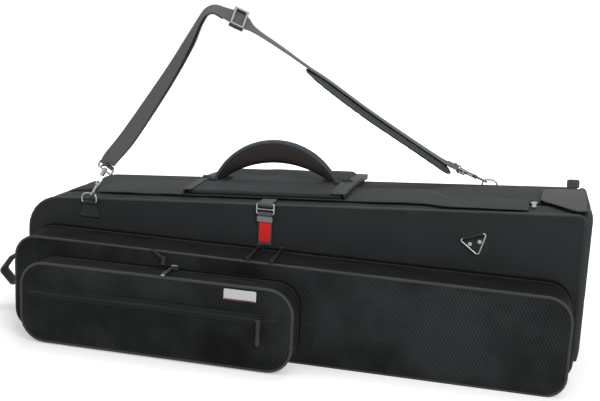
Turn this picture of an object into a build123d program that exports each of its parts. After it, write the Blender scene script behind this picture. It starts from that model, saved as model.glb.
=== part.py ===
"""Soft trombone case: zipped tub and cover, two zipped pockets, handle, clip and shoulder strap.

Millimetres, +Z up. X runs along the case, with the bell end at +X. The front with the
pockets faces -Y. The origin is the centre of the case body's base.
"""
import os
from math import atan2, cos, degrees, radians, sin

from build123d import *

# Case body
LENGTH = 930.0            # left end to the outside of the end bumper
DEPTH = 240.0             # back face to the face that carries the pockets
LEFT_HEIGHT = 209.0       # slide end
RIGHT_HEIGHT = 265.0      # bell end
WALL = 14.0               # padded wall
CROWN = 6.0               # rise of the top along its middle
COVER_DEPTH = 56.0        # front cover, zip plane to face
SEAM = 0.5                # gap between tub and cover at the zip plane
CORNER_TOP_LEFT = 58.0
CORNER_BOTTOM_LEFT = 45.0
CORNER_TOP_RIGHT = 14.0
CORNER_BOTTOM_RIGHT = 30.0
BUMPER_R = 8.0            # padded roll round the bell end
PIPING_R = 2.5
CHANNEL = 5.0             # depth of the zip channel
CHANNEL_HALF = 9.0        # channel wall from the zip plane

# Big pocket
BIG_LEFT = -450.0
BIG_RIGHT = 447.0
BIG_TOP = 160.0           # front top edge at the left
BIG_TOP_FALL = 7.0        # fall of that edge towards the right
BIG_RISE = 8.0            # rise of the gusset towards the case
BIG_DEPTH = 73.6
BIG_CORNER = 38.0
POCKET_WALL = 4.0
RIM = 14.0                # depth of the fixed rim with the zip's first half

# Small pocket
SMALL_LEFT = -407.0
SMALL_RIGHT = 43.0
SMALL_TOP = 134.0
SMALL_DEPTH = 59.0
SMALL_CORNER = 40.0
SMALL_RIM = 13.0

# Zips and sliders
CHAIN = 1.0               # half width of one side's row of teeth
POCKET_CHANNEL = 5.0      # pocket zip channel wall from its zip plane
SLIDER_LENGTH = 12.0
SLIDER_WIDTH = 8.6
BAR_R = 0.9               # bridge bar that a pull turns on
MAIN_SLIDER_X = 378.0
BIG_SLIDERS_X = (-47.0, -8.0)
SMALL_SLIDERS_X = (-164.0, -184.0)
FRONT_SLIDER_X = -8.0
FRONT_ZIP_Z = 86.0

# Handle and saddle
SADDLE_LEFT = -190.0
SADDLE_RIGHT = 80.0
HANDLE_LEFT = -168.0
HANDLE_RIGHT = 48.0
HANDLE_RISE = 71.0        # top of the grip over its pivots
GRIP_THICK = 18.0
PIVOT_RISE = 18.6         # pivots over the top's edge line
PIVOT_R = 4.0

# Strap and its metal
WEB = 32.0                # shoulder strap webbing
WEB_THICK = 1.6
PAD_WIDTH = 64.0
PAD_THICK = 13.0
HOOK = 0.82               # snap hook's scale
RING_R = 1.6

# Derived places
X0 = -LENGTH / 2
X1 = LENGTH / 2 - BUMPER_R
BACK = DEPTH / 2
FACE = -DEPTH / 2
ZIP_Y = FACE + COVER_DEPTH
SLOPE = atan2(RIGHT_HEIGHT - LEFT_HEIGHT, LENGTH)
ALONG = Vector(cos(SLOPE), 0, sin(SLOPE))
BIG_FACE = FACE - BIG_DEPTH
BIG_ZIP_Y = FACE - RIM + 2
SMALL_FACE = BIG_FACE - SMALL_DEPTH
SMALL_ZIP_Y = BIG_FACE - SMALL_RIM + 2
GAP = 0.3


def top_z(x):
    """Height of the top's front and back edge at a place along the case."""
    return LEFT_HEIGHT + (RIGHT_HEIGHT - LEFT_HEIGHT) * (x + LENGTH / 2) / LENGTH


STATIONS = [FACE + DEPTH * i / 12 for i in range(13)]


def crown(y):
    """Rise of the top over its edge line, straight between stations."""
    if y <= FACE or y >= BACK:
        return 0.0
    i = max(k for k in range(12) if STATIONS[k] <= y)
    a = CROWN * (1 - (STATIONS[i] / BACK) ** 2)
    b = CROWN * (1 - (STATIONS[i + 1] / BACK) ** 2)
    return a + (b - a) * (y - STATIONS[i]) / (STATIONS[i + 1] - STATIONS[i])


def surface_z(x, y):
    """Height of the crowned top."""
    return top_z(x) + crown(y)


def rounded(points, radii):
    """Closed outline with one radius for each corner."""
    return make_face(FilletPolyline(*points, radius=list(radii), close=True))


def y_slab(face, y0, y1):
    """Solid between two depths, from an outline drawn in X and Z."""
    return extrude(Plane.XZ.offset(-y1) * face, amount=y1 - y0)


def box(x0, x1, y0, y1, z0, z1):
    """Box between limits."""
    size = (x1 - x0, y1 - y0, z1 - z0)
    return Pos((x0 + x1) / 2, (y0 + y1) / 2, (z0 + z1) / 2) * Box(*size)


def rod(a, b, radius):
    """Round bar between two points."""
    a = Vector(*a)
    b = Vector(*b)
    plane = Plane(origin=a, z_dir=b - a)
    return extrude(plane * Circle(radius), amount=(b - a).length)


def body_outline(inset=0.0, lift=0.0, wider=0.0):
    """Outline of the case body, seen from the front."""
    left = X0 + inset
    right = X1 - inset
    drop = inset / cos(SLOPE) - lift
    points = [(left, inset), (right, inset), (right, top_z(right) - drop), (left, top_z(left) - drop)]
    corners = (CORNER_BOTTOM_LEFT, CORNER_BOTTOM_RIGHT, CORNER_TOP_RIGHT + wider / 5,
               CORNER_TOP_LEFT + wider)
    return rounded(points, [max(r - inset, 2.0) for r in corners])


def top_band(x0, x1, y0, y1, low, high):
    """Sheet that follows the crowned and sloping top, low and high over it."""
    ys = [y0] + [y for y in STATIONS if y0 + 0.01 < y < y1 - 0.01] + [y1]
    under = [(y, surface_z(x0, y) + low(y)) for y in ys]
    over = [(y, surface_z(x0, y) + high(y)) for y in reversed(ys)]
    plane = Plane(origin=(x0, 0, 0), x_dir=(0, 1, 0), z_dir=(1, 0, 0))
    face = make_face(Polyline(*under, *over, close=True))
    return extrude(plane * face, amount=(x1 - x0) / cos(SLOPE), dir=tuple(ALONG))


def flat(value):
    """Height that is the same at every depth."""
    return lambda y: value


def plan(points, radii, z0=150.0, z1=330.0):
    """Upright solid on an outline drawn in X and Y."""
    return extrude(Plane.XY.offset(z0) * rounded(points, radii), amount=z1 - z0)


def tube_on(path, start, direction, radius, sides=8):
    """Many-sided section, near enough round, swept along a path."""
    section = Plane(origin=start, z_dir=direction) * RegularPolygon(radius, sides)
    return sweep(section, path=path)


def outline_tube(face, y, radius):
    """Piping that follows a face's outline at one depth."""
    wire = (Plane.XZ.offset(-y) * face).wire()
    return tube_on(wire, wire @ 0, wire % 0, radius)


# Case shells
def whole_body(y0, y1):
    """Solid case body between two depths, crown included."""
    base = y_slab(body_outline(), y0, y1)
    hump = y_slab(body_outline(lift=CROWN, wider=34), y0, y1)
    under_crown = top_band(X0 - 20, X1 + 20, FACE, BACK, flat(-400), flat(0))
    return base + (hump & under_crown)


def channel(y0, y1, depth):
    """Zip channel's cut over the top and both ends."""
    big = y_slab(body_outline(-12), y0, y1)
    ring = big - y_slab(body_outline(depth), y0 - 1, y1 + 1)
    return ring - box(X0 - 20, X1 + 20, y0 - 1, y1 + 1, -20, 30)


def bumper(y_in, y_out, fatter=0.0):
    """Padded roll up one side of the bell end and across its top."""
    x = X1
    z = top_z(X1) - BUMPER_R + 3
    side = y_out
    path = FilletPolyline((x, y_in, z), (x, side, z), (x, side, 34), radius=12)
    return tube_on(path, path @ 0, path % 0, BUMPER_R + fatter, 12)


def case_pieces():
    """Tub, cover, linings, piping, zip halves and bumpers."""
    inner = WALL
    cover_rear = ZIP_Y - SEAM
    tub = whole_body(ZIP_Y, BACK)
    tub -= y_slab(body_outline(inner), ZIP_Y - 1, BACK - inner)
    tub -= channel(ZIP_Y - 1, ZIP_Y + CHANNEL_HALF, CHANNEL)
    cover = whole_body(FACE, cover_rear)
    cover -= y_slab(body_outline(inner), FACE + 7, cover_rear + 1)
    cover -= channel(ZIP_Y - CHANNEL_HALF, ZIP_Y + 1, CHANNEL)
    roll_rear = bumper(ZIP_Y + 5, BACK - BUMPER_R + 2)
    roll_front = bumper(ZIP_Y - 5, FACE + BUMPER_R - 2)
    rear_piping = outline_tube(body_outline(1.5), BACK - 1.5, PIPING_R) - roll_rear
    front_piping = outline_tube(body_outline(1.5), FACE + 1.5, PIPING_R) - roll_front
    rear_piping -= box(X0 - 20, X1 + 20, 0, 200, -20, 0)
    front_piping -= box(X0 - 20, X1 + 20, -200, 0, -20, 0)
    tub = tub - roll_rear - rear_piping
    cover = cover - roll_front - front_piping
    tape = body_outline(CHANNEL - 1)
    under_tape = body_outline(CHANNEL - 0.1)
    bead = body_outline(CHANNEL - 2.2)
    keep = box(X0 - 20, X1 + 20, -200, 200, 32, 400)
    rear_mid = ZIP_Y - SEAM / 2 + 0.05
    front_mid = ZIP_Y - SEAM / 2 - 0.05
    rear_zip = y_slab(tape, rear_mid, ZIP_Y + CHANNEL_HALF - 0.1)
    rear_zip += y_slab(bead, rear_mid, rear_mid + 2 * CHAIN)
    rear_zip = ((rear_zip - y_slab(under_tape, -200, 200)) & keep) - bumper(ZIP_Y + 5, BACK - 6, 0.1)
    front_zip = y_slab(tape, ZIP_Y - CHANNEL_HALF + 0.1, front_mid)
    front_zip += y_slab(bead, front_mid - 2 * CHAIN, front_mid)
    front_zip = ((front_zip - y_slab(under_tape, -200, 200)) & keep) - bumper(ZIP_Y - 5, FACE + 6, 0.1)
    foam = y_slab(body_outline(inner + 0.3), -10, BACK - inner - 0.2)
    well_x = X1 - inner - 118
    well = Pos(well_x, 0, 0.49 * top_z(well_x)) * Rot(90, 0, 0) * Cylinder(110, 200)
    trough = y_slab(rounded([(X0 + 36, 44), (well_x, 44), (well_x, 158), (X0 + 36, 158)], [20] * 4),
                    -20, 84)
    foam = foam - trough - (well & box(-500, 500, -20, 92, 0, 400))
    panel = y_slab(body_outline(inner + 0.3), FACE + 7.2, FACE + 12)
    strip = box(X0 + 70, X1 - 60, ZIP_Y - 16, ZIP_Y + 16, inner + 0.1, inner + 1.3)
    return {
        "tub_shell": tub,
        "tub_lining": foam,
        "tub_piping": rear_piping,
        "tub_zip_half": rear_zip,
        "end_bumper_rear": roll_rear,
        "hinge_strip": strip,
        "cover_shell": cover,
        "cover_lining": panel,
        "cover_piping": front_piping,
        "cover_zip_half": front_zip,
        "end_bumper_front": roll_front,
    }


# Flap, saddle and tongue on the top
def top_pieces():
    """Sewn pieces on the case's top."""
    flap_lift = 3.2
    flap_sheet = 2.0
    jog_a = 212.0
    jog_b = 246.0
    right = MAIN_SLIDER_X - SLIDER_LENGTH / 2 - 2.5
    seam = [(-354, 24), (jog_a, 6), (jog_b, -48), (right, -46)]
    front = [(right, -116), (jog_b, -113), (jog_a, -100), (-354, -92)]
    outline = plan(front + seam, (6, 12, 12, 6, 4, 12, 12, 4))
    flap = top_band(-354, right, -120, 40, flat(flap_lift), flat(flap_lift + flap_sheet)) & outline
    sewn = plan([(x, y - 9) for x, y in reversed(seam)] + seam, (1, 8, 8, 1, 1, 8, 8, 1))
    flap += top_band(-354, right, -60, 40, flat(0.1), flat(flap_lift + 0.5)) & sewn
    base = flap_lift + flap_sheet + 0.2
    split = 26.0

    def under(y):
        return base if y < split else 0.1

    ys = (-92.0, 112.0)
    saddle_plan = plan([(SADDLE_LEFT, ys[0]), (SADDLE_RIGHT, ys[0] - 4), (SADDLE_RIGHT, ys[1]),
                        (SADDLE_LEFT, ys[1])], (14, 14, 10, 10))
    front_part = top_band(SADDLE_LEFT, SADDLE_RIGHT, ys[0] - 4, split, flat(base), flat(base + 7))
    rear_part = top_band(SADDLE_LEFT, SADDLE_RIGHT, split, ys[1], flat(0.1), flat(base + 7))
    hump = rounded([(SADDLE_LEFT + 8, 0), (SADDLE_RIGHT - 8, 0),
                    (SADDLE_RIGHT - 8, surface_z(SADDLE_RIGHT, 0) + 21),
                    (SADDLE_LEFT + 8, surface_z(SADDLE_LEFT, 0) + 21)], (5, 5, 26, 26))
    profile = [(-84, base + 5), (-50, base + 7.5), (10, base + 8), (50, base + 11),
               (75, base + 15), (95, base + 15), (106, base + 5)]
    plane = Plane(origin=(SADDLE_LEFT, 0, 0), x_dir=(0, 1, 0), z_dir=(1, 0, 0))
    over = [(y, surface_z(SADDLE_LEFT, y) + h) for y, h in profile]
    cushion = make_face(Polyline((-84, surface_z(SADDLE_LEFT, -84) + base), *over,
                                 (106, surface_z(SADDLE_LEFT, 106) + base), close=True))
    cushion = extrude(plane * cushion, amount=(SADDLE_RIGHT - SADDLE_LEFT) / cos(SLOPE),
                      dir=tuple(ALONG))
    saddle = (front_part + rear_part) & saddle_plan
    cushion = cushion & y_slab(hump, -100, 120)
    cushion = cushion & top_band(SADDLE_LEFT, SADDLE_RIGHT, -84, 106, flat(base), flat(60))
    saddle += cushion
    slots = []
    patches = None
    for x0, x1, bar0, bar1 in ((SADDLE_LEFT - 4, HANDLE_LEFT - 9, HANDLE_LEFT - 24, HANDLE_LEFT - 10),
                               (HANDLE_RIGHT + 9, SADDLE_RIGHT + 4, HANDLE_RIGHT + 10, HANDLE_RIGHT + 24)):
        strip_plan = plan([(x0, -98), (x1, -98), (x1, 114), (x0, 114)], (5, 5, 5, 5))
        strip = top_band(x0, x1, -98, 114, flat(base + 7.2), flat(base + 9.4)) & strip_plan
        skirt = (x0, SADDLE_LEFT - 0.2) if x0 < SADDLE_LEFT else (SADDLE_RIGHT + 0.2, x1)
        strip += top_band(*skirt, -98, 114, flat(base), flat(base + 9)) & strip_plan
        strip -= cushion
        low = pivot(bar0)
        high = pivot(bar1)
        tunnel = rod(low, high, PIVOT_R + 2.4)
        tunnel += box(bar0, bar1, -9, 9, low[2] - PIVOT_R - 2, low[2] - PIVOT_R + 1)
        strip += tunnel - saddle
        strip -= rod(pivot(bar0 - 5), pivot(bar1 + 5), PIVOT_R + 0.08)
        slots.append(rod(pivot(bar0 - 8), pivot(bar1 + 8), PIVOT_R + 0.6))
        patches = strip if patches is None else patches + strip
    for slot in slots:
        saddle -= slot
    saddle -= box(HANDLE_LEFT - 10, HANDLE_LEFT + 26, -21, 21, pivot(HANDLE_LEFT)[2] - 6, 400)
    saddle -= box(HANDLE_RIGHT - 26, HANDLE_RIGHT + 10, -21, 21, pivot(HANDLE_RIGHT)[2] - 6, 400)
    patches -= saddle
    tongue_left = MAIN_SLIDER_X + SLIDER_LENGTH / 2 + 2
    tongue_plan = plan([(tongue_left + 6, 30), (tongue_left, -60), (X1 - 18, -117), (X1 - 1, -117),
                        (X1 - 1, 44), (tongue_left + 24, 44)], (8, 34, 8, 2, 2, 16))
    tongue = top_band(tongue_left, X1, -118, 46, flat(flap_lift), flat(flap_lift + 2.2)) & tongue_plan
    ridge = ZIP_Y + CHANNEL_HALF + 2
    tongue += top_band(tongue_left, X1 - 24, ridge, 44, flat(0.1), flat(flap_lift + 1)) & tongue_plan
    return {
        "storm_flap": flap,
        "handle_saddle": saddle,
        "saddle_patches": patches,
        "tongue_patch": tongue,
    }


def pivot(x):
    """Point on the handle's pivot line."""
    return (x, 0.0, top_z(x) + PIVOT_RISE)


def handle_pieces():
    """Crescent grip and its binding, on two round end bars."""
    a = pivot(HANDLE_LEFT)
    b = pivot(HANDLE_RIGHT)
    mid = (HANDLE_LEFT + HANDLE_RIGHT) / 2
    peak = pivot(mid)[2] + HANDLE_RISE
    inner_peak = peak - 40
    outer = ThreePointArc((a[0] - 4, a[2]), (mid, peak), (b[0] + 4, b[2]))
    inner = ThreePointArc((a[0] + 14, a[2] + 1), (mid, inner_peak), (b[0] - 14, b[2] + 1))
    ends = [Line(outer @ 0, inner @ 0), Line(inner @ 1, outer @ 1)]
    crescent = make_face([outer, inner] + ends)
    grip = y_slab(crescent, -GRIP_THICK, GRIP_THICK)
    lens = plan([(a[0] - 14, -3.4), (a[0] + 50, -GRIP_THICK / 2), (b[0] - 50, -GRIP_THICK / 2),
                 (b[0] + 14, -3.4), (b[0] + 14, 3.4), (b[0] - 50, GRIP_THICK / 2),
                 (a[0] + 50, GRIP_THICK / 2), (a[0] - 14, 3.4)], (1, 60, 60, 1, 1, 60, 60, 1), 180, 360)
    grip = grip & lens
    band = y_slab(crescent, -GRIP_THICK, GRIP_THICK)
    inside = ThreePointArc((a[0] + 3, a[2] - 30), (mid, peak - 7), (b[0] - 3, b[2] - 30))
    core = make_face([inside, Line(inside @ 1, inside @ 0)])
    band = (band & lens) - y_slab(core, -40, 40)
    grip = grip - band
    for x0, x1 in ((HANDLE_LEFT - 23, HANDLE_LEFT + 4), (HANDLE_RIGHT - 4, HANDLE_RIGHT + 23)):
        bar = rod(pivot(x0), pivot(x1), PIVOT_R)
        band += bar
        grip -= bar
    return {"handle_grip": grip, "handle_binding": band}


# Zip sliders: local X is the travel, local Z points out of the fabric
def slider_local(bar_z):
    """Slider body with its bridge; the pull turns on the bridge's bar."""
    half = SLIDER_LENGTH / 2
    w = SLIDER_WIDTH / 2
    body = rounded([(-half, -w + 1.2), (half * 0.3, -w), (half, -w * 0.45), (half, w * 0.45),
                    (half * 0.3, w), (-half, w - 1.2)], (1.2,) * 6)
    solid = extrude(body, amount=2.6)
    for side in (-1, 1):
        solid += box(side * 4.4 - 0.8, side * 4.4 + 0.8, -1.3, 1.3, 1.4, bar_z)
        solid += rod((side * 4.4 - 0.8, 0, bar_z), (side * 4.4 + 0.8, 0, bar_z), 1.3)
    return solid + rod((-4.4, 0, bar_z), (4.4, 0, bar_z), BAR_R)


BAR_Z = 5.4
MAIN_BAR_Z = 8.2


def pull_local(length, skew=0.0, thick=2.6):
    """Pull that lies from the bar towards local -Y; skew moves its end sideways."""
    barrel = rod((-3.2, 0, 0), (3.2, 0, 0), 1.9)
    tab = rounded([(-2.8, -1), (-3.4, -14), (3.4, -14), (2.8, -1)], (0.4, 1, 1, 0.4))
    tab = Pos(0, 0, -0.8) * extrude(tab, amount=1.6)
    end = -length
    r = 0.8 if skew else 2.5
    grip = rounded([(-2.4, -10), (-3.6 + skew, end), (3.6 + skew, end), (2.4, -10)], (0.8, r, r, 0.8))
    grip = Pos(0, 0, -thick / 2) * extrude(grip, amount=thick)
    return barrel + tab + grip - rod((-6, 0, 0), (6, 0, 0), BAR_R + 0.08)


def slider_set(name, place, tilt, pull, bar_z=BAR_Z):
    """Slider and pull at one place; tilt lays the pull down from level."""
    return {
        name + "_slider": place * slider_local(bar_z),
        name + "_pull": place * Pos(0, 0, bar_z) * Rot(tilt, 0, 0) * pull,
    }


def slider_pieces():
    """All sliders with their pulls."""
    pieces = {}
    along = Rot(0, -degrees(SLOPE), 0)
    z = top_z(MAIN_SLIDER_X) - CHANNEL + 2.2 + GAP
    main = Pos(MAIN_SLIDER_X, ZIP_Y, z) * along
    pieces.update(slider_set("main", main, 3.8, pull_local(28, thick=1.6), MAIN_BAR_Z))
    for i, x in enumerate(BIG_SLIDERS_X):
        place = Pos(x, BIG_ZIP_Y, big_top(x, BIG_ZIP_Y) - 0.8 + GAP) * Rot(0, big_fall(), 0)
        pieces.update(slider_set("big_pocket_%d" % (i + 1), place, 5.0, pull_local(68)))
    for i, x in enumerate(SMALL_SLIDERS_X):
        place = Pos(x, SMALL_ZIP_Y, SMALL_TOP - 0.4 + GAP)
        if i == 0:
            pieces.update(slider_set("small_pocket_1", place, 1.5, pull_local(52)))
        else:
            pieces.update(slider_set("small_pocket_2", place, -104.0, pull_local(23, skew=-22)))
    place = Pos(FRONT_SLIDER_X, SMALL_FACE - 3.0 - GAP, FRONT_ZIP_Z) * Rot(90, 0, 0)
    pieces.update(slider_set("front_zip", place, 0.0, pull_local(40)))
    return pieces


# Pockets
def big_fall():
    """Fall of the big pocket's top towards the right, in degrees."""
    return degrees(atan2(BIG_TOP_FALL, BIG_RIGHT - BIG_LEFT))


def big_top(x, y):
    """Height of the big pocket's gusset."""
    run = (y - BIG_FACE) / (FACE - BIG_FACE)
    return BIG_TOP + BIG_RISE * run - BIG_TOP_FALL * (x - BIG_LEFT) / (BIG_RIGHT - BIG_LEFT)


def big_outline(y, inset=0.0):
    """Big pocket's outline at one depth."""
    left = BIG_LEFT + inset
    right = BIG_RIGHT - inset
    points = [(left, inset), (right, inset), (right, big_top(BIG_RIGHT, y) - inset),
              (left, big_top(BIG_LEFT, y) - inset)]
    radii = [max(r - inset, 2.0) for r in (32, 32, BIG_CORNER, BIG_CORNER)]
    return Plane.XZ.offset(-y) * rounded(points, radii)


def small_outline(y, inset=0.0):
    """Small pocket's outline at one depth."""
    left = SMALL_LEFT + inset
    right = SMALL_RIGHT - inset
    points = [(left, 3 + inset), (right, 3 + inset), (right, SMALL_TOP - inset),
              (left, SMALL_TOP - inset)]
    return Plane.XZ.offset(-y) * rounded(points, [SMALL_CORNER - inset] * 4)


def between(outline, y0, y1, inset=0.0):
    """Solid between one pocket outline at two depths."""
    return loft([outline(y1, inset), outline(y0, inset)], ruled=True)


def zip_ring(outline, y0, y1, mid, side):
    """Tape with its row of teeth round a pocket's top and ends."""
    ring = between(outline, y0, y1, 3.0) - between(outline, y0 - 1, y1 + 1, 4.0)
    bead = between(outline, min(mid, mid + side * 2 * CHAIN), max(mid, mid + side * 2 * CHAIN), 1.0)
    bead -= between(outline, mid - 5, mid + 5, 3.5)
    return ring + bead


def pocket(outline, face, zip_y, front, name, low):
    """Rim on the carrying face, and the part that folds down, each with half a zip."""
    rim_front = zip_y + POCKET_CHANNEL
    door_rear = zip_y - POCKET_CHANNEL
    keep = box(-600, 600, -400, 0, low, 400)
    rim = between(outline, rim_front, face - 0.2) - between(outline, rim_front - 1, face + 1, 5)
    rim_tape = zip_ring(outline, zip_y + 0.15, rim_front + 0.05, zip_y + 0.15, 1) & keep
    rim += rim_tape
    rim -= outline_tube(body_outline(1.5), FACE + 1.5, PIPING_R + 0.15)
    shell = between(outline, front, door_rear)
    shell -= between(outline, front + POCKET_WALL, door_rear + 1, POCKET_WALL + 1)
    shell += zip_ring(outline, door_rear - 0.05, zip_y - 0.15, zip_y - 0.15, -1) & keep
    edge = outline(front + 1.2, 1.2)
    wire = edge.wire()
    piping = tube_on(wire, wire @ 0, wire % 0, 2.2)
    piping -= box(-600, 600, -400, 0, -20, 0)
    shell -= piping
    return {name + "_rim": rim, name + "_shell": shell, name + "_piping": piping}


def pocket_pieces():
    """Both pockets, the flat front zip and the bare label."""
    pieces = pocket(big_outline, FACE, BIG_ZIP_Y, BIG_FACE, "big_pocket", 30.0)
    pieces.update(pocket(small_outline, BIG_FACE, SMALL_ZIP_Y, SMALL_FACE, "small_pocket", 30.0))
    y = SMALL_FACE
    left = SMALL_LEFT + 12
    right = SMALL_RIGHT - 18
    band = box(left, right, y - 1.3, y - 0.1, FRONT_ZIP_Z - 8, FRONT_ZIP_Z + 8)
    band += box(left + 4, right - 4, y - 3.0, y - 1.2, FRONT_ZIP_Z - 1.8, FRONT_ZIP_Z + 1.8)
    band += box(left, left + 3, y - 3.2, y - 1.2, FRONT_ZIP_Z - 4, FRONT_ZIP_Z + 4)
    band += box(right - 3, right, y - 3.2, y - 1.2, FRONT_ZIP_Z - 4, FRONT_ZIP_Z + 4)
    label = rounded([(-66, 111), (-15, 111), (-15, 128), (-66, 128)], [2] * 4)
    pieces["front_zip"] = band
    pieces["label_patch"] = y_slab(label, y - 1.0, y - 0.1)
    return pieces


# Closure clip on the cover
CLIP_X = -41.0
CLIP_WIDTH = 24.0


def clip_pieces():
    """Webbing tab, ring, slide, webbing tail and red grip."""
    w = CLIP_WIDTH / 2
    face = FACE - 1.2
    bar_y = face - 5.0
    bar_z = top_z(CLIP_X) + 1.0
    x0 = CLIP_X - w
    x1 = CLIP_X + w
    tab = top_band(x0, x1, face - 1.0, -101, flat(1.3), flat(3.5))
    tab += box(x0, x1, face - 2.2, face, bar_z - 6, top_z(CLIP_X) + 3.2)
    loop = rod((x0, bar_y, bar_z), (x1, bar_y, bar_z), 3.6)
    loop += box(x0, x1, bar_y, face - 0.5, bar_z - 3.6, bar_z + 3.0)
    tab += loop
    tab -= rod((x0 - 1, bar_y, bar_z), (x1 + 1, bar_y, bar_z), RING_R + 0.09)
    side = w + RING_R + 0.7
    low = bar_z - 16
    mid = bar_z - 8.5
    frame = FilletPolyline((CLIP_X - side, bar_y, bar_z), (CLIP_X + side, bar_y, bar_z),
                           (CLIP_X + side, bar_y, low), (CLIP_X - side, bar_y, low),
                           radius=2.2, close=True)
    ring = tube_on(frame, frame @ 0.1, frame % 0.1, RING_R)
    ring += rod((CLIP_X - side, bar_y, mid), (CLIP_X + side, bar_y, mid), RING_R)
    back = bar_y + 2.0
    tail = box(CLIP_X - 11, CLIP_X + 11, back - 0.1, back + 1.6, 168, low + 2)
    tail += rod((CLIP_X - 11, bar_y, low), (CLIP_X + 11, bar_y, low), 3.6)
    tail -= rod((CLIP_X - 12, bar_y, low), (CLIP_X + 12, bar_y, low), RING_R + 0.05)
    tail -= box(CLIP_X - 12, CLIP_X + 12, back + 1.6, back + 5, 150, 300)
    slide_top = low - 3.8
    slide = y_slab(rounded([(CLIP_X - 13, slide_top - 9), (CLIP_X + 13, slide_top - 9),
                            (CLIP_X + 13, slide_top), (CLIP_X - 13, slide_top)], [2] * 4),
                   back - 4.2, back + 1.9)
    slide -= box(CLIP_X - 11.1, CLIP_X + 11.1, back - 2.4, back + 1.65, 100, 300)
    red_top = slide_top - 9.3
    red = y_slab(rounded([(CLIP_X - 9.5, red_top - 34), (CLIP_X + 9.5, red_top - 34),
                          (CLIP_X + 9.5, red_top), (CLIP_X - 9.5, red_top)], (4, 4, 1, 1)),
                 back - 1.7, back - 0.15)
    return {"clip_tab": tab, "clip_ring": ring, "pull_webbing": tail, "clip_slide": slide,
            "red_pull_tab": red}


# Anchors of the shoulder strap
RIGHT_BAR = (290.5, FACE - 4.4, 216.5)
RIGHT_TURN = 19.0
UP_ANCHORS = {"left": (-350.0, -1), "rear": (300.0, 1)}
STAND = 4.4               # ring wire to the case's face


def up_anchor(x, side):
    """Leather plate under the top edge and the ring that the strap pulls up over it."""
    piping = outline_tube(body_outline(1.5), side * (BACK - 1.5), PIPING_R + 0.15)
    place = Pos(x, side * (BACK + STAND), top_z(x) - 6.4)
    if side > 0:
        place = place * Rot(0, 0, 180)
    outline = rounded([(-18, -26), (18, -26), (10, 3), (-10, 3)], (3, 3, 2, 2))
    plate = y_slab(outline, STAND - 2.3, STAND - 0.1)
    hem = rod((-18, STAND - 2.6, -24), (18, STAND - 2.6, -24), 1.5)
    plate += hem & box(-20, 20, -5, STAND - 0.1, -40, 0)
    plate += rod((-10, 0, 0), (10, 0, 0), 3.5) + box(-10, 10, 0, STAND - 0.2, -3.4, 3.2)
    plate -= rod((-20, 0, 0), (20, 0, 0), RING_R + 0.09)
    wire = FilletPolyline((-13, 0, 0), (13, 0, 0), (13, 0, 15.5), (-13, 0, 15.5),
                          radius=(2.5, 2.5, 9, 9), close=True)
    ring = tube_on(wire, wire @ 0.1, wire % 0.1, RING_R)
    return place * plate - piping, place * ring


def anchor_pieces():
    """Leather plates with their rings, rivets and the loops of webbing."""
    place = Pos(*RIGHT_BAR) * Rot(0, -RIGHT_TURN, 0)
    outline = rounded([(-18, 6), (18, 6), (19, -22), (10, -42), (-10, -42), (-19, -22)],
                      (3, 3, 8, 8, 8, 8))
    plate = place * y_slab(outline, STAND - 2.3, STAND - 0.1)
    plate += place * (rod((-16, 0, 0), (16, 0, 0), 3.5) + box(-16, 16, 0, STAND - 0.2, -3.4, 3.4))
    plate -= place * rod((-30, 0, 0), (30, 0, 0), RING_R + 0.09)
    rivets = rod((188, FACE - 0.1, 181), (188, FACE - 1.6, 181), 3.2)
    for x in (-7.6, 7.6):
        rivets += place * rod((x, STAND - 2.35, -11), (x, STAND - 3.6, -11), 3.0)
    side = 21.5
    loop = FilletPolyline((-side, 0, 0), (side, 0, 0), (0, 0, -32), radius=(3, 3, 4), close=True)
    loop = place * tube_on(loop, loop @ 0.2, loop % 0.2, RING_R)
    left_plate, left_ring = up_anchor(*UP_ANCHORS["left"])
    rear_plate, rear_ring = up_anchor(*UP_ANCHORS["rear"])
    post = fillet(Box(21, 4, 15).edges().filter_by(Axis.Y), 3)
    end_loop = Pos(441, 100, surface_z(441, 96) + 8.0) * Rot(0, -degrees(SLOPE), 0) * post
    gx = X0 - 1.8
    grab = FilletPolyline((gx, -95, 142), (gx, -95, 120), (X0 - 46, -95, 92), (X0 - 66, -95, 65),
                          (X0 - 44, -95, 42), (gx, -95, 58), (gx, -95, 76), radius=5)
    grab_section = Plane(origin=grab @ 0, z_dir=grab % 0, x_dir=(0, 1, 0)) * Rectangle(26, 3)
    grab = sweep(grab_section, path=grab)
    return {
        "right_anchor_plate": plate,
        "anchor_rivets": rivets,
        "right_anchor_ring": loop,
        "left_anchor_plate": left_plate,
        "left_anchor_ring": left_ring,
        "rear_anchor_plate": rear_plate,
        "rear_anchor_ring": rear_ring,
        "end_loop": end_loop,
        "grab_loop": grab,
    }


# Shoulder strap in its own upright plane: s runs along the case, z is up
STRAP_A = Vector(-346.0, FACE - 4.5, 0)
STRAP_B = Vector(292.0, BACK + 4.4, 0)
STRAP_E = (STRAP_B - STRAP_A).normalized()
STRAP_N = Vector(-STRAP_E.Y, STRAP_E.X, 0) * -1


def at(s, z):
    """Point in the strap's plane."""
    return STRAP_A + STRAP_E * s + Vector(0, 0, z)


# Swivels: place of the collar's outer end in the strap's plane, and the hook's direction
FRONT_EYE = (19.6, 261.9, -0.443, -0.897)
REAR_EYE = (644.4, 277.7, 0.922, -0.387)
EYE_BAR = 17.0 * HOOK


def beyond_bar(eye, reach, turn):
    """Strap section a little way from the eye's far bar."""
    s, z, ds, dz = eye
    return (s - ds * (EYE_BAR + reach), z - dz * (EYE_BAR + reach), turn)


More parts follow.
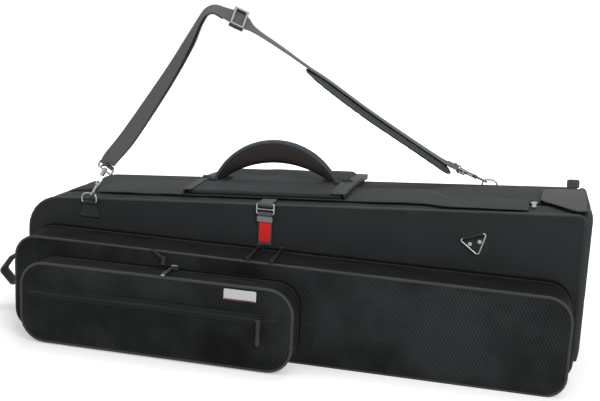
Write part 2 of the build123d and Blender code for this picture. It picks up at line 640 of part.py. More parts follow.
FRONT_TURN = 42.0
REAR_TURN = 14.0
WEB_PATH = [beyond_bar(FRONT_EYE, 3.2, FRONT_TURN), beyond_bar(FRONT_EYE, 12, 46), (64, 329, 48),
            (122.3, 422, 34), (153.4, 478, 22), (174.9, 520, 10), (186, 534, 16), (198.5, 538, 25), (214.6, 532.5, 34),
            (231.8, 526, 42), (247.3, 519, 42), (266, 506, 16), (309, 480, 10), (361.6, 446.5, 8),
            (396, 426, 8), (480, 370.5, 8), (597, 299, 10), beyond_bar(REAR_EYE, 12, 14),
            beyond_bar(REAR_EYE, 3.2, REAR_TURN)]
PAD_PATH = [(357, 443.8, 8, 22, 4), (364, 439.3, 8, 44, 8), (384, 425.8, 8, 62, 12),
            (430, 394.3, 8, 64, 13), (476, 364.3, 8, 64, 13), (535, 328.8, 9, 64, 13),
            (585, 298.3, 10, 64, 13), (606, 285.3, 11, 60, 12), (613, 280.5, 12, 40, 8),
            (617, 278, 12, 24, 5)]


def frame_on(path, i):
    """Tangent, width direction and thickness direction at one strap point."""
    a = path[max(i - 1, 0)]
    b = path[min(i + 1, len(path) - 1)]
    tangent = (STRAP_E * (b[0] - a[0]) + Vector(0, 0, b[1] - a[1])).normalized()
    up = STRAP_N.cross(tangent).normalized()
    if up.Z < 0:
        up = up * -1
    turn = radians(path[i][2])
    width = STRAP_N * cos(turn) - up * sin(turn)
    return tangent, width, up * cos(turn) + STRAP_N * sin(turn)


def strip_loft(path, first, last, width, thick, offset):
    """Flat webbing through the path's sections, moved along its thickness direction."""
    faces = []
    for i in range(first, last):
        tangent, q, t = frame_on(path, i)
        middle = at(path[i][0], path[i][1]) + t * offset(i)
        faces.append(Plane(origin=middle, x_dir=q, z_dir=tangent) * Rectangle(width, thick))
    spans = [loft([faces[i], faces[i + 1]], ruled=True) for i in range(len(faces) - 1)]
    return spans[0] + spans[1:]


def pad_loft():
    """Padded shoulder piece, crowned across and drawn in at both ends."""
    faces = []
    for i, (s, z, turn, width, thick) in enumerate(PAD_PATH):
        tangent, q, t = frame_on(PAD_PATH, i)
        h = width / 2
        u = thick / 2
        points = [(-h, -u * 0.3), (-h * 0.75, -u), (h * 0.75, -u), (h, -u * 0.3), (h, u * 0.3),
                  (h * 0.75, u * 0.8), (0, u), (-h * 0.75, u * 0.8), (-h, u * 0.3)]
        section = make_face(Polyline(*points, close=True))
        faces.append(Plane(origin=at(s, z), x_dir=q, z_dir=tangent) * section)
    return loft(faces, ruled=True)


def strap_pieces():
    """Webbing in two layers, adjuster and pad."""
    spread = {2: 1.6, 3: 3.0, 4: 4.2, 5: 2.4}
    outer = strip_loft(WEB_PATH, 0, len(WEB_PATH), WEB, WEB_THICK, lambda i: 1.0)
    inner = strip_loft(WEB_PATH, 0, 9, WEB, WEB_THICK, lambda i: 1.0 - WEB_THICK - 0.4 - spread.get(i, 0))
    i = 9
    tangent, q, t = frame_on(WEB_PATH, i)
    s, z, turn = WEB_PATH[i]
    middle = at(s + 6, z - 2.4) + t * 1.0
    plane = Plane(origin=middle, x_dir=q, z_dir=t)
    half = WEB / 2 + 1.2
    bars = Pos(0, 10.5, 3.2) * Box(2 * half + 8, 4, 3.4) + Pos(0, -10.5, 3.2) * Box(2 * half + 8, 4, 3.4)
    cheeks = Pos(half + 2, 0, 0.6) * Box(4, 25, 8.6) + Pos(-half - 2, 0, 0.6) * Box(4, 25, 8.6)
    under = Pos(0, 0, -3.0) * Box(2 * half + 8, 5, 2)
    adjuster = plane * (bars + cheeks + under)
    webbing = outer + inner + web_loop(FRONT_EYE, FRONT_TURN) + web_loop(REAR_EYE, REAR_TURN)
    return {"strap_webbing": webbing, "strap_adjuster": adjuster, "shoulder_pad": pad_loft()}


def web_loop(eye, turn):
    """Webbing folded round the eye's far bar."""
    place = hook_place(eye) * Pos(0, -EYE_BAR, 0) * Rot(0, eye_turn(eye, turn), 0)
    half = WEB / 2
    return place * (rod((-half, 0, 0), (half, 0, 0), 3.5) - rod((-half - 1, 0, 0), (half + 1, 0, 0), 2.05))


def eye_turn(eye, turn):
    """Turn of the eye's loop about the hook's line that matches the webbing's section."""
    return 90 - turn if eye[3] < -0.6 else turn - 90


def hook_place(eye):
    """Location with Y from swivel to bow, and X across it in the strap's plane."""
    s, z, ds, dz = eye
    along = (STRAP_E * ds + Vector(0, 0, dz)).normalized()
    return Plane(origin=at(s, z), x_dir=along.cross(STRAP_N), z_dir=STRAP_N).location


def hook_local():
    """Snap hook body: stem, barrel, bow and gate lug, drawn in X and Y."""
    lug = rounded([(-11, 20), (-5, 6), (5, 6), (8, 20), (11.8, 31), (6.9, 33), (2, 30), (-6.4, 31),
                   (-11, 28)], (3, 3, 3, 4, 1, 1, 4, 1, 2))
    body = Pos(0, 0, -4) * extrude(lug, amount=8)
    body += rod((0, 0.4, 0), (0, 8, 0), 4.6)
    stem = rod((0, -9.6, 0), (0, 1, 0), 2.1) + rod((0, -9.8, 0), (0, -7.4, 0), 3.8)
    path = FilletPolyline((9.5, 30), (9.5, 56), (-9.5, 56), (-9.5, 46), radius=(9, 9))
    bow = tube_on(path, (9.5, 30, 0), (0, 1, 0), 2.5)
    body = body + bow + stem
    body -= Pos(-9, 26, 0) * Box(12, 16, 3.7)
    body -= rod((-8.5, 25, -5), (-8.5, 25, 5), 1.26)
    return body


def gate_local():
    """Gate from its pin to the bow's tip."""
    outline = rounded([(-10.4, 22.9), (-6.6, 22.9), (-7.7, 45.6), (-11.3, 45.6)], (1.6, 1.6, 0.6, 0.6))
    gate = Pos(0, 0, -1.6) * extrude(outline, amount=3.2)
    return gate + rod((-8.5, 25, -3.9), (-8.5, 25, 3.9), 1.2)


def eye_local(turn):
    """Swivel eye: collar round the hook's stem, and the loop for the webbing."""
    half = (WEB / 2 + 3.2) / HOOK
    low = -4.4
    high = -EYE_BAR / HOOK
    loop = FilletPolyline((-half, low, 0), (half, low, 0), (half, high, 0), (-half, high, 0),
                          radius=3.5, close=True)
    loop = tube_on(loop, loop @ 0.05, loop % 0.05, 2.0)
    loop = Rot(0, turn, 0) * loop
    collar = rod((0, -7.2, 0), (0, 0, 0), 5.0)
    return (loop + collar) - rod((0, -20, 0), (0, 5, 0), 2.17) - rod((0, -11, 0), (0, -7.0, 0), 4.4)


def hook_pieces():
    """Both snap hooks with their gates and swivel eyes."""
    pieces = {}
    for name, eye, turn in (("front", FRONT_EYE, FRONT_TURN), ("rear", REAR_EYE, REAR_TURN)):
        place = hook_place(eye)
        roll = place * Rot(0, 90, 0)
        pieces[name + "_hook"] = roll * scale(hook_local(), HOOK)
        pieces[name + "_hook_gate"] = roll * scale(gate_local(), HOOK)
        pieces[name + "_swivel_eye"] = place * scale(eye_local(eye_turn(eye, turn)), HOOK)
    return pieces


def main():
    """Build every piece and write one STEP file each."""
    pieces = {}
    for group in (case_pieces, top_pieces, handle_pieces, pocket_pieces, slider_pieces, clip_pieces,
                  anchor_pieces, strap_pieces, hook_pieces):
        pieces.update(group())
    os.makedirs("parts", exist_ok=True)
    for name, shape in pieces.items():
        export_step(shape, "parts/%s.step" % name)
    print(len(pieces), "pieces")


main()
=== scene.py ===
"""Soft trombone case: cloth, leather, webbing and metal over the packed frame."""
import math

import bmesh
import bpy
from mathutils import Matrix, Vector, geometry, kdtree, noise


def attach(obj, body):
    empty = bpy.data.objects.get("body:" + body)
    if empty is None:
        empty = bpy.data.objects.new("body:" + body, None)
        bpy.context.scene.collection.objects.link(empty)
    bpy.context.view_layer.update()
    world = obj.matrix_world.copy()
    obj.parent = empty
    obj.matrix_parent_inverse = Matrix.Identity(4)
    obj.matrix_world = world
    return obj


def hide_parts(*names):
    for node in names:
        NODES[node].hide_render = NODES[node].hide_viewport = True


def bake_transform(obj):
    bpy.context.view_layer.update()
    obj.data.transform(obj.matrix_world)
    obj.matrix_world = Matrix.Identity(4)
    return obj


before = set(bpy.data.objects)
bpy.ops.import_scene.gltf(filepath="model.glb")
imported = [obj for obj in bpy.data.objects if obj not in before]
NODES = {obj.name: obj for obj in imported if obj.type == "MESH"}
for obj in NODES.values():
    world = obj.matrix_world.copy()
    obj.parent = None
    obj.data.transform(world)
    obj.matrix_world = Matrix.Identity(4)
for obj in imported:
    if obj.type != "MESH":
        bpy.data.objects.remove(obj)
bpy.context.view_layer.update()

bl_info = {
    "name": "Soft Trombone Case",
    "version": (1, 0, 0),
    "blender": (4, 5, 0),
    "location": "View3D > Sidebar > Trombone Case",
    "description": "Dresses a soft instrument case in cloth, leather, webbing and metal",
    "category": "Object",
}

MM = 0.001

# Sizes shared with the source of the solids, in millimetres
LENGTH, DEPTH = 930.0, 240.0
LEFT_HEIGHT, RIGHT_HEIGHT = 209.0, 265.0
WALL, CROWN, CHANNEL, CHANNEL_HALF, SEAM = 14.0, 6.0, 5.0, 9.0, 0.5
X0, X1 = -465.0, 457.0
FACE, BACK, ZIP_Y = -120.0, 120.0, -64.0
SLOPE = math.atan2(RIGHT_HEIGHT - LEFT_HEIGHT, LENGTH)
ALONG = Vector((math.cos(SLOPE), 0, math.sin(SLOPE)))
BIG_LEFT, BIG_RIGHT, BIG_TOP, BIG_FALL, BIG_RISE = -450.0, 447.0, 160.0, 7.0, 8.0
BIG_FACE, BIG_ZIP_Y = -193.6, -132.0
SMALL_LEFT, SMALL_RIGHT, SMALL_TOP = -407.0, 43.0, 134.0
SMALL_FACE, SMALL_ZIP_Y = -252.6, -204.6
FRONT_ZIP_Z = 86.0
SADDLE_LEFT, SADDLE_RIGHT = -190.0, 80.0
HANDLE_LEFT, HANDLE_RIGHT = -168.0, 48.0
PIVOT_RISE, HANDLE_RISE = 18.6, 71.0
BODY_RADII = (45.0, 30.0, 14.0, 58.0)


def top_z(x):
    return LEFT_HEIGHT + (RIGHT_HEIGHT - LEFT_HEIGHT) * (x + LENGTH / 2) / LENGTH


def ramp(value, low, high):
    t = min(max((value - low) / (high - low), 0.0), 1.0)
    return t * t * (3 - 2 * t)


def crown(x, y):
    ends = ramp(x, X0 + 20, X0 + 130) * (1 - ramp(x, X1 - 70, X1 - 6))
    return CROWN * max(0.0, 1 - (y / BACK) ** 2) * ends


def surface_z(x, y):
    return top_z(x) + CROWN * max(0.0, 1 - (y / BACK) ** 2)


def pivot(x):
    return Vector((x, 0, top_z(x) + PIVOT_RISE))


def fold(x, y, z, seed, size=60.0, detail=2):
    """Soft crumple of cloth, between about -1 and 1."""
    return noise.fractal(Vector((x / size, y / size, z / size)) + Vector((seed, 0, 0)), 0.7, 2.1, detail)


# Outlines
def rounded_loop(corners, radii, spans, arc=7):
    """Closed outline with rounded corners and the same number of points for any inset."""
    n = len(corners)
    arcs = []
    for i in range(n):
        p = Vector(corners[i])
        a = (Vector(corners[i - 1]) - p).normalized()
        b = (Vector(corners[(i + 1) % n]) - p).normalized()
        half = a.angle(b) / 2
        r = max(radii[i], 0.05)
        c = p + (a + b).normalized() * (r / math.sin(half))
        v0 = p + a * (r / math.tan(half)) - c
        v1 = p + b * (r / math.tan(half)) - c
        angle = v0.angle(v1)
        arcs.append([c + (v0 * math.sin((1 - k / arc) * angle) + v1 * math.sin(k / arc * angle))
                     / math.sin(angle) for k in range(arc + 1)])
    loop = []
    for i in range(n):
        loop += arcs[i]
        start, end = arcs[i][-1], arcs[(i + 1) % n][0]
        loop += [start.lerp(end, k / spans[i]) for k in range(1, spans[i])]
    return loop


def normals_of(loop, closed=True):
    """Outward normals of an outline that runs anticlockwise."""
    n = len(loop)
    found = []
    for i in range(n):
        a = loop[i - 1] if closed or i else loop[0]
        b = loop[(i + 1) % n] if closed or i < n - 1 else loop[-1]
        t = (b - a).normalized()
        found.append(Vector((t.y, -t.x)))
    return found


def body_loop(y, inset, floor_inset=None):
    """Case outline at one depth; floor_inset is the inset along the base."""
    def loop_for(amount):
        left, right, drop = X0 + amount, X1 - amount, amount / math.cos(SLOPE)
        corners = [(left, amount), (right, amount), (right, top_z(right) - drop), (left, top_z(left) - drop)]
        return rounded_loop(corners, [max(r - amount, 2.0) for r in BODY_RADII], (110, 26, 120, 18))
    loop = loop_for(inset)
    if floor_inset is not None and floor_inset != inset:
        base = loop_for(floor_inset)
        loop = [b.lerp(a, ramp(b.y, 14, 34)) for a, b in zip(loop, base)]
    points = []
    for p in loop:
        high = ramp(p.y, top_z(p.x) - 30, top_z(p.x) - 6)
        points.append(Vector((p.x, y, p.y + crown(p.x, y) * high)))
    return points


def big_top(x, y):
    return BIG_TOP + BIG_RISE * (y - BIG_FACE) / (FACE - BIG_FACE) - BIG_FALL * (x - BIG_LEFT) / 897.0


def big_loop(y, inset, floor_inset=None):
    """Big pocket's outline at one depth."""
    left, right = BIG_LEFT + inset, BIG_RIGHT - inset
    low = inset if floor_inset is None else floor_inset
    corners = [(left, low), (right, low), (right, big_top(BIG_RIGHT, y) - inset),
               (left, big_top(BIG_LEFT, y) - inset)]
    radii = [max(r - inset, 2.0) for r in (32, 32, 38, 38)]
    return [Vector((p.x, y, p.y)) for p in rounded_loop(corners, radii, (110, 12, 110, 12))]


def small_loop(y, inset, floor_inset=None):
    """Small pocket's outline at one depth."""
    left, right = SMALL_LEFT + inset, SMALL_RIGHT - inset
    low = 3 + (inset if floor_inset is None else floor_inset)
    corners = [(left, low), (right, low), (right, SMALL_TOP - inset), (left, SMALL_TOP - inset)]
    return [Vector((p.x, y, p.y)) for p in rounded_loop(corners, [max(40 - inset, 2.0)] * 4, (58, 8, 58, 8))]


# Meshes
def link(name, mesh):
    piece = bpy.data.objects.new(name, mesh)
    bpy.context.scene.collection.objects.link(piece)
    return piece


def make_mesh(name, points, faces, weld=True, outward=True):
    """Mesh from points in millimetres, welded and with its faces turned out."""
    mesh = bpy.data.meshes.new(name)
    mesh.from_pydata([Vector(p) * MM for p in points], [], faces)
    bm = bmesh.new()
    bm.from_mesh(mesh)
    if weld:
        bmesh.ops.remove_doubles(bm, verts=bm.verts, dist=2e-5)
        bmesh.ops.dissolve_degenerate(bm, edges=bm.edges, dist=1e-6)
    if outward:
        bmesh.ops.recalc_face_normals(bm, faces=bm.faces)
    bm.to_mesh(mesh)
    bm.free()
    for face in mesh.polygons:
        face.use_smooth = True
    return mesh


def box_uv(mesh):
    """UV in metres from each face's main direction, so that threads have one size."""
    layer = mesh.uv_layers.new(name="cloth") if not mesh.uv_layers else mesh.uv_layers[0]
    for face in mesh.polygons:
        n = face.normal
        ax, ay, az = abs(n.x), abs(n.y), abs(n.z)
        for i in face.loop_indices:
            co = mesh.vertices[mesh.loops[i].vertex_index].co
            if ay >= ax and ay >= az:
                layer.data[i].uv = (co.x, co.z)
            elif az >= ax:
                layer.data[i].uv = (co.x, co.y)
            else:
                layer.data[i].uv = (co.y, co.z)


def keep_sharp(mesh, degrees=42.0):
    """Marks edges between faces that meet steeply, so that smooth shading stops there."""
    bm = bmesh.new()
    bm.from_mesh(mesh)
    for edge in bm.edges:
        if len(edge.link_faces) == 2 and edge.calc_face_angle(0.0) > math.radians(degrees):
            edge.smooth = False
    bm.to_mesh(mesh)
    bm.free()


def fill(ring, spacing, depth, first):
    """Triangles over a ring that lies at one depth; depth(x, z, reach) gives the sheet's y."""
    flat = [Vector((p.x, p.z)) for p in ring]
    tree = kdtree.KDTree(len(flat))
    for i, p in enumerate(flat):
        tree.insert((p.x, p.y, 0), i)
    tree.balance()
    xs, zs = [p.x for p in flat], [p.y for p in flat]
    inner = []
    row = 0
    z = min(zs) + spacing / 2
    while z < max(zs):
        x = min(xs) + spacing * (0.5 if row % 2 else 1.0)
        while x < max(xs):
            reach = tree.find((x, z, 0))[2]
            if reach > spacing * 0.6:
                inner.append(Vector((x, z)))
            x += spacing
        z += spacing * 0.87
        row += 1
    found = geometry.delaunay_2d_cdt(flat + inner, [], [list(range(len(flat)))], 1, 1e-5)
    points, faces = [], []
    for p in found[0]:
        reach = tree.find((p.x, p.y, 0))[2]
        points.append(Vector((p.x, depth(p.x, p.y, reach), p.y)))
    for f in found[2]:
        faces.append([first + k for k in f])
    return points, faces


def shell(name, rings, start=None, end=None, spacing=9.0, loop_back=False):
    """Closed sewn form from rings of points, each end closed by a filled sheet or joined round."""
    count = len(rings[0])
    points = [p for ring in rings for p in ring]
    faces = []
    last = len(rings) if loop_back else len(rings) - 1
    for r in range(last):
        a, b = r * count, ((r + 1) % len(rings)) * count
        faces += [(a + k, a + (k + 1) % count, b + (k + 1) % count, b + k) for k in range(count)]
    for ring, depth in ((rings[0], start), (rings[-1], end)):
        if depth:
            more, tris = fill(ring, spacing, depth, len(points))
            points += more
            faces += tris
    return make_mesh(name, points, faces)


def band(name, points, outs, section, closed):
    """Small section (across, out) carried along a path; outs point away from the case."""
    n = len(points)
    verts, faces = [], []
    m = len(section)
    for i in range(n):
        a = points[i - 1] if closed or i else points[0]
        b = points[(i + 1) % n] if closed or i < n - 1 else points[-1]
        tangent = (b - a).normalized()
        out = (outs[i] - tangent * outs[i].dot(tangent)).normalized()
        side = tangent.cross(out)
        verts += [points[i] + side * s + out * o for s, o in section]
    for i in range(n if closed else n - 1):
        a, b = i * m, ((i + 1) % n) * m
        faces += [(a + k, a + (k + 1) % m, b + (k + 1) % m, b + k) for k in range(m)]
    if not closed:
        faces += [tuple(range(m)), tuple(range((n - 1) * m, n * m))]
    mesh = make_mesh(name, verts, faces, weld=False)
    layer = mesh.uv_layers.new(name="cloth")
    run = [0.0]
    for i in range(1, n):
        run.append(run[-1] + (points[i] - points[i - 1]).length * MM)
    total = run[-1] + (points[0] - points[-1]).length * MM
    girth = [0.0]
    for k in range(1, m):
        girth.append(girth[-1] + math.dist(section[k], section[k - 1]) * MM)
    round_way = girth[-1] + math.dist(section[0], section[-1]) * MM
    for face in mesh.polygons:
        seen = [mesh.loops[i].vertex_index for i in face.loop_indices]
        end = closed and any(v // m == n - 1 for v in seen) and any(v // m == 0 for v in seen)
        wrap = any(v % m == m - 1 for v in seen) and any(v % m == 0 for v in seen) and len(seen) == 4
        for i, v in zip(face.loop_indices, seen):
            u = total if end and v // m == 0 else run[v // m]
            w = round_way if wrap and v % m == 0 else girth[v % m]
            layer.data[i].uv = (u, w)
    return mesh


def circle(radius, sides=12, flat=1.0):
    return [(radius * math.cos(2 * math.pi * k / sides), radius * flat * math.sin(2 * math.pi * k / sides))
            for k in range(sides)]


def along_loop(loop, low=None):
    """Path and outward directions of an outline ring; low keeps only what is above that height."""
    flat = normals_of([Vector((p.x, p.z)) for p in loop])
    outs = [Vector((n.x, 0, n.y)) for n in flat]
    if low is None:
        return loop, outs
    n = len(loop)
    keep = [p.z > low for p in loop]
    start = next(i for i in range(n) if keep[i] and not keep[i - 1])
    order = [(start + k) % n for k in range(n) if keep[(start + k) % n]]
    return [loop[i] for i in order], [outs[i] for i in order]


def smooth_line(points, steps):
    """Catmull-Rom line through points, with some steps between each two."""
    line = []
    for i in range(len(points) - 1):
        p = [points[max(i - 1, 0)], points[i], points[i + 1], points[min(i + 2, len(points) - 1)]]
        for k in range(steps):
            t = k / steps
            line.append(tuple(0.5 * (2 * p[1][c] + (p[2][c] - p[0][c]) * t
                        + (2 * p[0][c] - 5 * p[1][c] + 4 * p[2][c] - p[3][c]) * t * t
                        + (3 * p[1][c] - p[0][c] - 3 * p[2][c] + p[3][c]) * t ** 3)
                        for c in range(len(p[0]))))
    return line + [tuple(points[-1])]


def evaluated(piece):
    """Plain mesh of a piece with its modifiers applied; the piece itself goes."""
    graph = bpy.context.evaluated_depsgraph_get()
    mesh = bpy.data.meshes.new_from_object(piece.evaluated_get(graph))
    mesh.name = piece.name
    bpy.data.objects.remove(piece)
    return mesh


def softened(node, name, voxel, rounds=3, puff=0.0, crumple=0.0, size=40.0, seed=1.0):
    """Cloth or leather form over a solid's own shape, rounded off, filled out and crumpled."""
    mesh = NODES[node].data.copy()
    mesh.materials.clear()
    bm = bmesh.new()
    bm.from_mesh(mesh)
    bmesh.ops.remove_doubles(bm, verts=bm.verts, dist=1e-5)
    bm.to_mesh(mesh)
    bm.free()
    piece = link(name, mesh)
    remesh = piece.modifiers.new("Remesh", "REMESH")
    remesh.mode = "VOXEL"
    remesh.voxel_size = voxel * MM
    mesh = evaluated(piece)
    bm = bmesh.new()
    bm.from_mesh(mesh)
    for _ in range(rounds):
        bmesh.ops.smooth_vert(bm, verts=bm.verts, factor=0.5, use_axis_x=True, use_axis_y=True, use_axis_z=True)
    bm.normal_update()
    moves = []
    for v in bm.verts:
        co = v.co / MM
        amount = puff + crumple * fold(co.x, co.y, co.z, seed, size)
        moves.append(v.co + v.normal * amount * MM)
    for v, co in zip(bm.verts, moves):
        v.co = co
    bm.to_mesh(mesh)
    bm.free()
    for face in mesh.polygons:
        face.use_smooth = True
    box_uv(mesh)
    return mesh


def row_tree():
    """Geometry Nodes: small rounded blocks at even steps along a path, turned to its outward side."""
    name = "Row along a path"
    if name in bpy.data.node_groups:
        return bpy.data.node_groups[name]
    tree = bpy.data.node_groups.new(name, "GeometryNodeTree")
    sockets = (("Geometry", "NodeSocketGeometry"), ("Pitch", "NodeSocketFloat"), ("Size", "NodeSocketVector"),
               ("Material", "NodeSocketMaterial"))
    for label, kind in sockets:
        tree.interface.new_socket(label, in_out="INPUT", socket_type=kind)
    tree.interface.new_socket("Geometry", in_out="OUTPUT", socket_type="NodeSocketGeometry")
    new, wire = tree.nodes.new, tree.links.new
    given, result = new("NodeGroupInput"), new("NodeGroupOutput")
    curve = new("GeometryNodeMeshToCurve")
    steps = new("GeometryNodeResampleCurve")
    steps.mode = "LENGTH"
    block = new("GeometryNodeMeshCube")
    rounder = new("GeometryNodeSubdivisionSurface")
    rounder.inputs["Level"].default_value = 1
    tangent = new("GeometryNodeInputTangent")
    outward = new("GeometryNodeInputNamedAttribute")
    outward.data_type = "FLOAT_VECTOR"
    outward.inputs["Name"].default_value = "outward"
    lay = new("FunctionNodeAlignRotationToVector")
    lay.axis = "X"
    turn = new("FunctionNodeAlignRotationToVector")
    turn.axis = "Z"
    turn.pivot_axis = "X"
    place = new("GeometryNodeInstanceOnPoints")
    real = new("GeometryNodeRealizeInstances")
    paint = new("GeometryNodeSetMaterial")
    wire(given.outputs["Geometry"], curve.inputs[0])
    wire(curve.outputs[0], steps.inputs["Curve"])
    wire(given.outputs["Pitch"], steps.inputs["Length"])
    wire(given.outputs["Size"], block.inputs["Size"])
    wire(block.outputs["Mesh"], rounder.inputs["Mesh"])
    wire(tangent.outputs[0], lay.inputs["Vector"])
    wire(lay.outputs[0], turn.inputs["Rotation"])
    wire(outward.outputs["Attribute"], turn.inputs["Vector"])
    wire(steps.outputs[0], place.inputs["Points"])
    wire(rounder.outputs[0], place.inputs["Instance"])
    wire(turn.outputs[0], place.inputs["Rotation"])
    wire(place.outputs[0], real.inputs[0])
    wire(real.outputs[0], paint.inputs[0])
    wire(given.outputs["Material"], paint.inputs["Material"])
    wire(paint.outputs[0], result.inputs[0])
    return tree


def row(name, paths, pitch, size, finish, body, slot):
    """Teeth or stitches along paths of (points, outs), as one plain mesh on a body."""
    mesh = bpy.data.meshes.new(name)
    verts, edges, outs = [], [], []
    for points, sides in paths:
        first = len(verts)
        verts += [p * MM for p in points]
        outs += [c for side in sides for c in side]
        edges += [(first + k, first + k + 1) for k in range(len(points) - 1)]
    mesh.from_pydata(verts, edges, [])
    mesh.attributes.new("outward", "FLOAT_VECTOR", "POINT").data.foreach_set("vector", outs)
    piece = link(name, mesh)
    tree = row_tree()
    nodes = piece.modifiers.new("Row", "NODES")
    nodes.node_group = tree
    keys = {item.name: item.identifier for item in tree.interface.items_tree if item.in_out == "INPUT"}
    nodes[keys["Pitch"]] = pitch * MM
    nodes[keys["Size"]] = [s * MM for s in size]
    nodes[keys["Material"]] = finish
    mesh = evaluated(piece)
    return settle(link(name, mesh), body, finish, slot)


def settle(piece, body, finish, slot, stands_for=()):
    """Material, body, slot and the solids a piece stands for."""
    if not piece.data.materials:
        piece.data.materials.append(finish)
    if body:
        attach(piece, body)
    if stands_for:
        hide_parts(*stands_for)
    return piece


def add(name, mesh, body, finish, slot, stands_for=(), sharp=None):
    if not mesh.uv_layers:
        box_uv(mesh)
    if sharp:
        keep_sharp(mesh, sharp)
    return settle(link(name, mesh), body, finish, slot, stands_for)


# Shader node groups
def group(name, inputs, outputs):
    tree = bpy.data.node_groups.new(name, "ShaderNodeTree")
    for label, kind, value in inputs:
        socket = tree.interface.new_socket(label, in_out="INPUT", socket_type=kind)
        if value is not None:
            socket.default_value = value
    for label, kind in outputs:
        tree.interface.new_socket(label, in_out="OUTPUT", socket_type=kind)
    return tree, tree.nodes.new("NodeGroupInput"), tree.nodes.new("NodeGroupOutput")


def math_node(tree, operation, a, b=None):
    node = tree.nodes.new("ShaderNodeMath")
    node.operation = operation
    for i, value in enumerate((a, b)):
        if value is None:
            continue
        if isinstance(value, (int, float)):
            node.inputs[i].default_value = value
        else:
            tree.links.new(value, node.inputs[i])
    return node.outputs[0]


def weave_group():
    """Over and under threads, ribs and a slanted rib with a wavy line, from a UV in metres."""
    name = "Threads"
    if name in bpy.data.node_groups:
        return bpy.data.node_groups[name]
    tree, given, result = group(name, (("UV", "NodeSocketVector", None), ("Thread", "NodeSocketFloat", 900.0),
                                       ("Rib", "NodeSocketFloat", 150.0), ("Turn", "NodeSocketFloat", 0.8),
                                       ("Wave", "NodeSocketFloat", 0.0)),
                                (("Weave", "NodeSocketFloat"), ("Ribs", "NodeSocketFloat")))
    split = tree.nodes.new("ShaderNodeSeparateXYZ")
    tree.links.new(given.outputs["UV"], split.inputs[0])
    u, v = split.outputs[0], split.outputs[1]
    pi2 = 2 * math.pi
    a = math_node(tree, "SINE", math_node(tree, "MULTIPLY", math_node(tree, "MULTIPLY", u, given.outputs["Thread"]), pi2))
    b = math_node(tree, "SINE", math_node(tree, "MULTIPLY", math_node(tree, "MULTIPLY", v, given.outputs["Thread"]), pi2))
    weave = math_node(tree, "MULTIPLY_ADD", math_node(tree, "MULTIPLY", a, b), 0.5)
    weave.node.inputs[2].default_value = 0.5
    cosine = math_node(tree, "COSINE", given.outputs["Turn"])
    sine = math_node(tree, "SINE", given.outputs["Turn"])
    across = math_node(tree, "ADD", math_node(tree, "MULTIPLY", u, cosine), math_node(tree, "MULTIPLY", v, sine))
    down = math_node(tree, "SUBTRACT", math_node(tree, "MULTIPLY", v, cosine), math_node(tree, "MULTIPLY", u, sine))
    wavy = math_node(tree, "SINE", math_node(tree, "MULTIPLY", math_node(tree, "MULTIPLY", down, given.outputs["Rib"]), pi2 * 0.55))
    phase = math_node(tree, "MULTIPLY", math_node(tree, "MULTIPLY", across, given.outputs["Rib"]), pi2)
    phase = math_node(tree, "ADD", phase, math_node(tree, "MULTIPLY", wavy, given.outputs["Wave"]))
    ribs = math_node(tree, "MULTIPLY_ADD", math_node(tree, "SINE", phase), 0.5)
    ribs.node.inputs[2].default_value = 0.5
    tree.links.new(weave, result.inputs["Weave"])
    tree.links.new(ribs, result.inputs["Ribs"])
    return tree


def wear_group():
    """Slow change of tone, fine flecks and lint, from Object coordinates."""
    name = "Handled cloth"
    if name in bpy.data.node_groups:
        return bpy.data.node_groups[name]
    tree, given, result = group(name, (("Spread", "NodeSocketFloat", 9.0),),
                                (("Tone", "NodeSocketFloat"), ("Flecks", "NodeSocketFloat")))
    place = tree.nodes.new("ShaderNodeTexCoord")
    slow = tree.nodes.new("ShaderNodeTexNoise")
    slow.inputs["Detail"].default_value = 4.0
    slow.inputs["Roughness"].default_value = 0.6
    fine = tree.nodes.new("ShaderNodeTexNoise")
    fine.inputs["Scale"].default_value = 900.0
    tree.links.new(place.outputs["Object"], slow.inputs["Vector"])
    tree.links.new(place.outputs["Object"], fine.inputs["Vector"])
    tree.links.new(given.outputs["Spread"], slow.inputs["Scale"])
    tree.links.new(slow.outputs[0], result.inputs["Tone"])
    tree.links.new(fine.outputs[0], result.inputs["Flecks"])
    return tree


def blank(name):
    """New material with its surface shader, or None where it is already made."""
    if name in bpy.data.materials:
        return None
    finish = bpy.data.materials.new(name)
    finish.use_nodes = True
    return finish


def mix_rgb(tree, factor, a, b):
    node = tree.nodes.new("ShaderNodeMix")
    node.data_type = "RGBA"
    tree.links.new(factor, node.inputs[0])
    for value, socket in ((a, node.inputs[6]), (b, node.inputs[7])):
        if isinstance(value, (tuple, list)):
            socket.default_value = (*value, 1.0)
        else:
            tree.links.new(value, socket)
    return node.outputs[2]


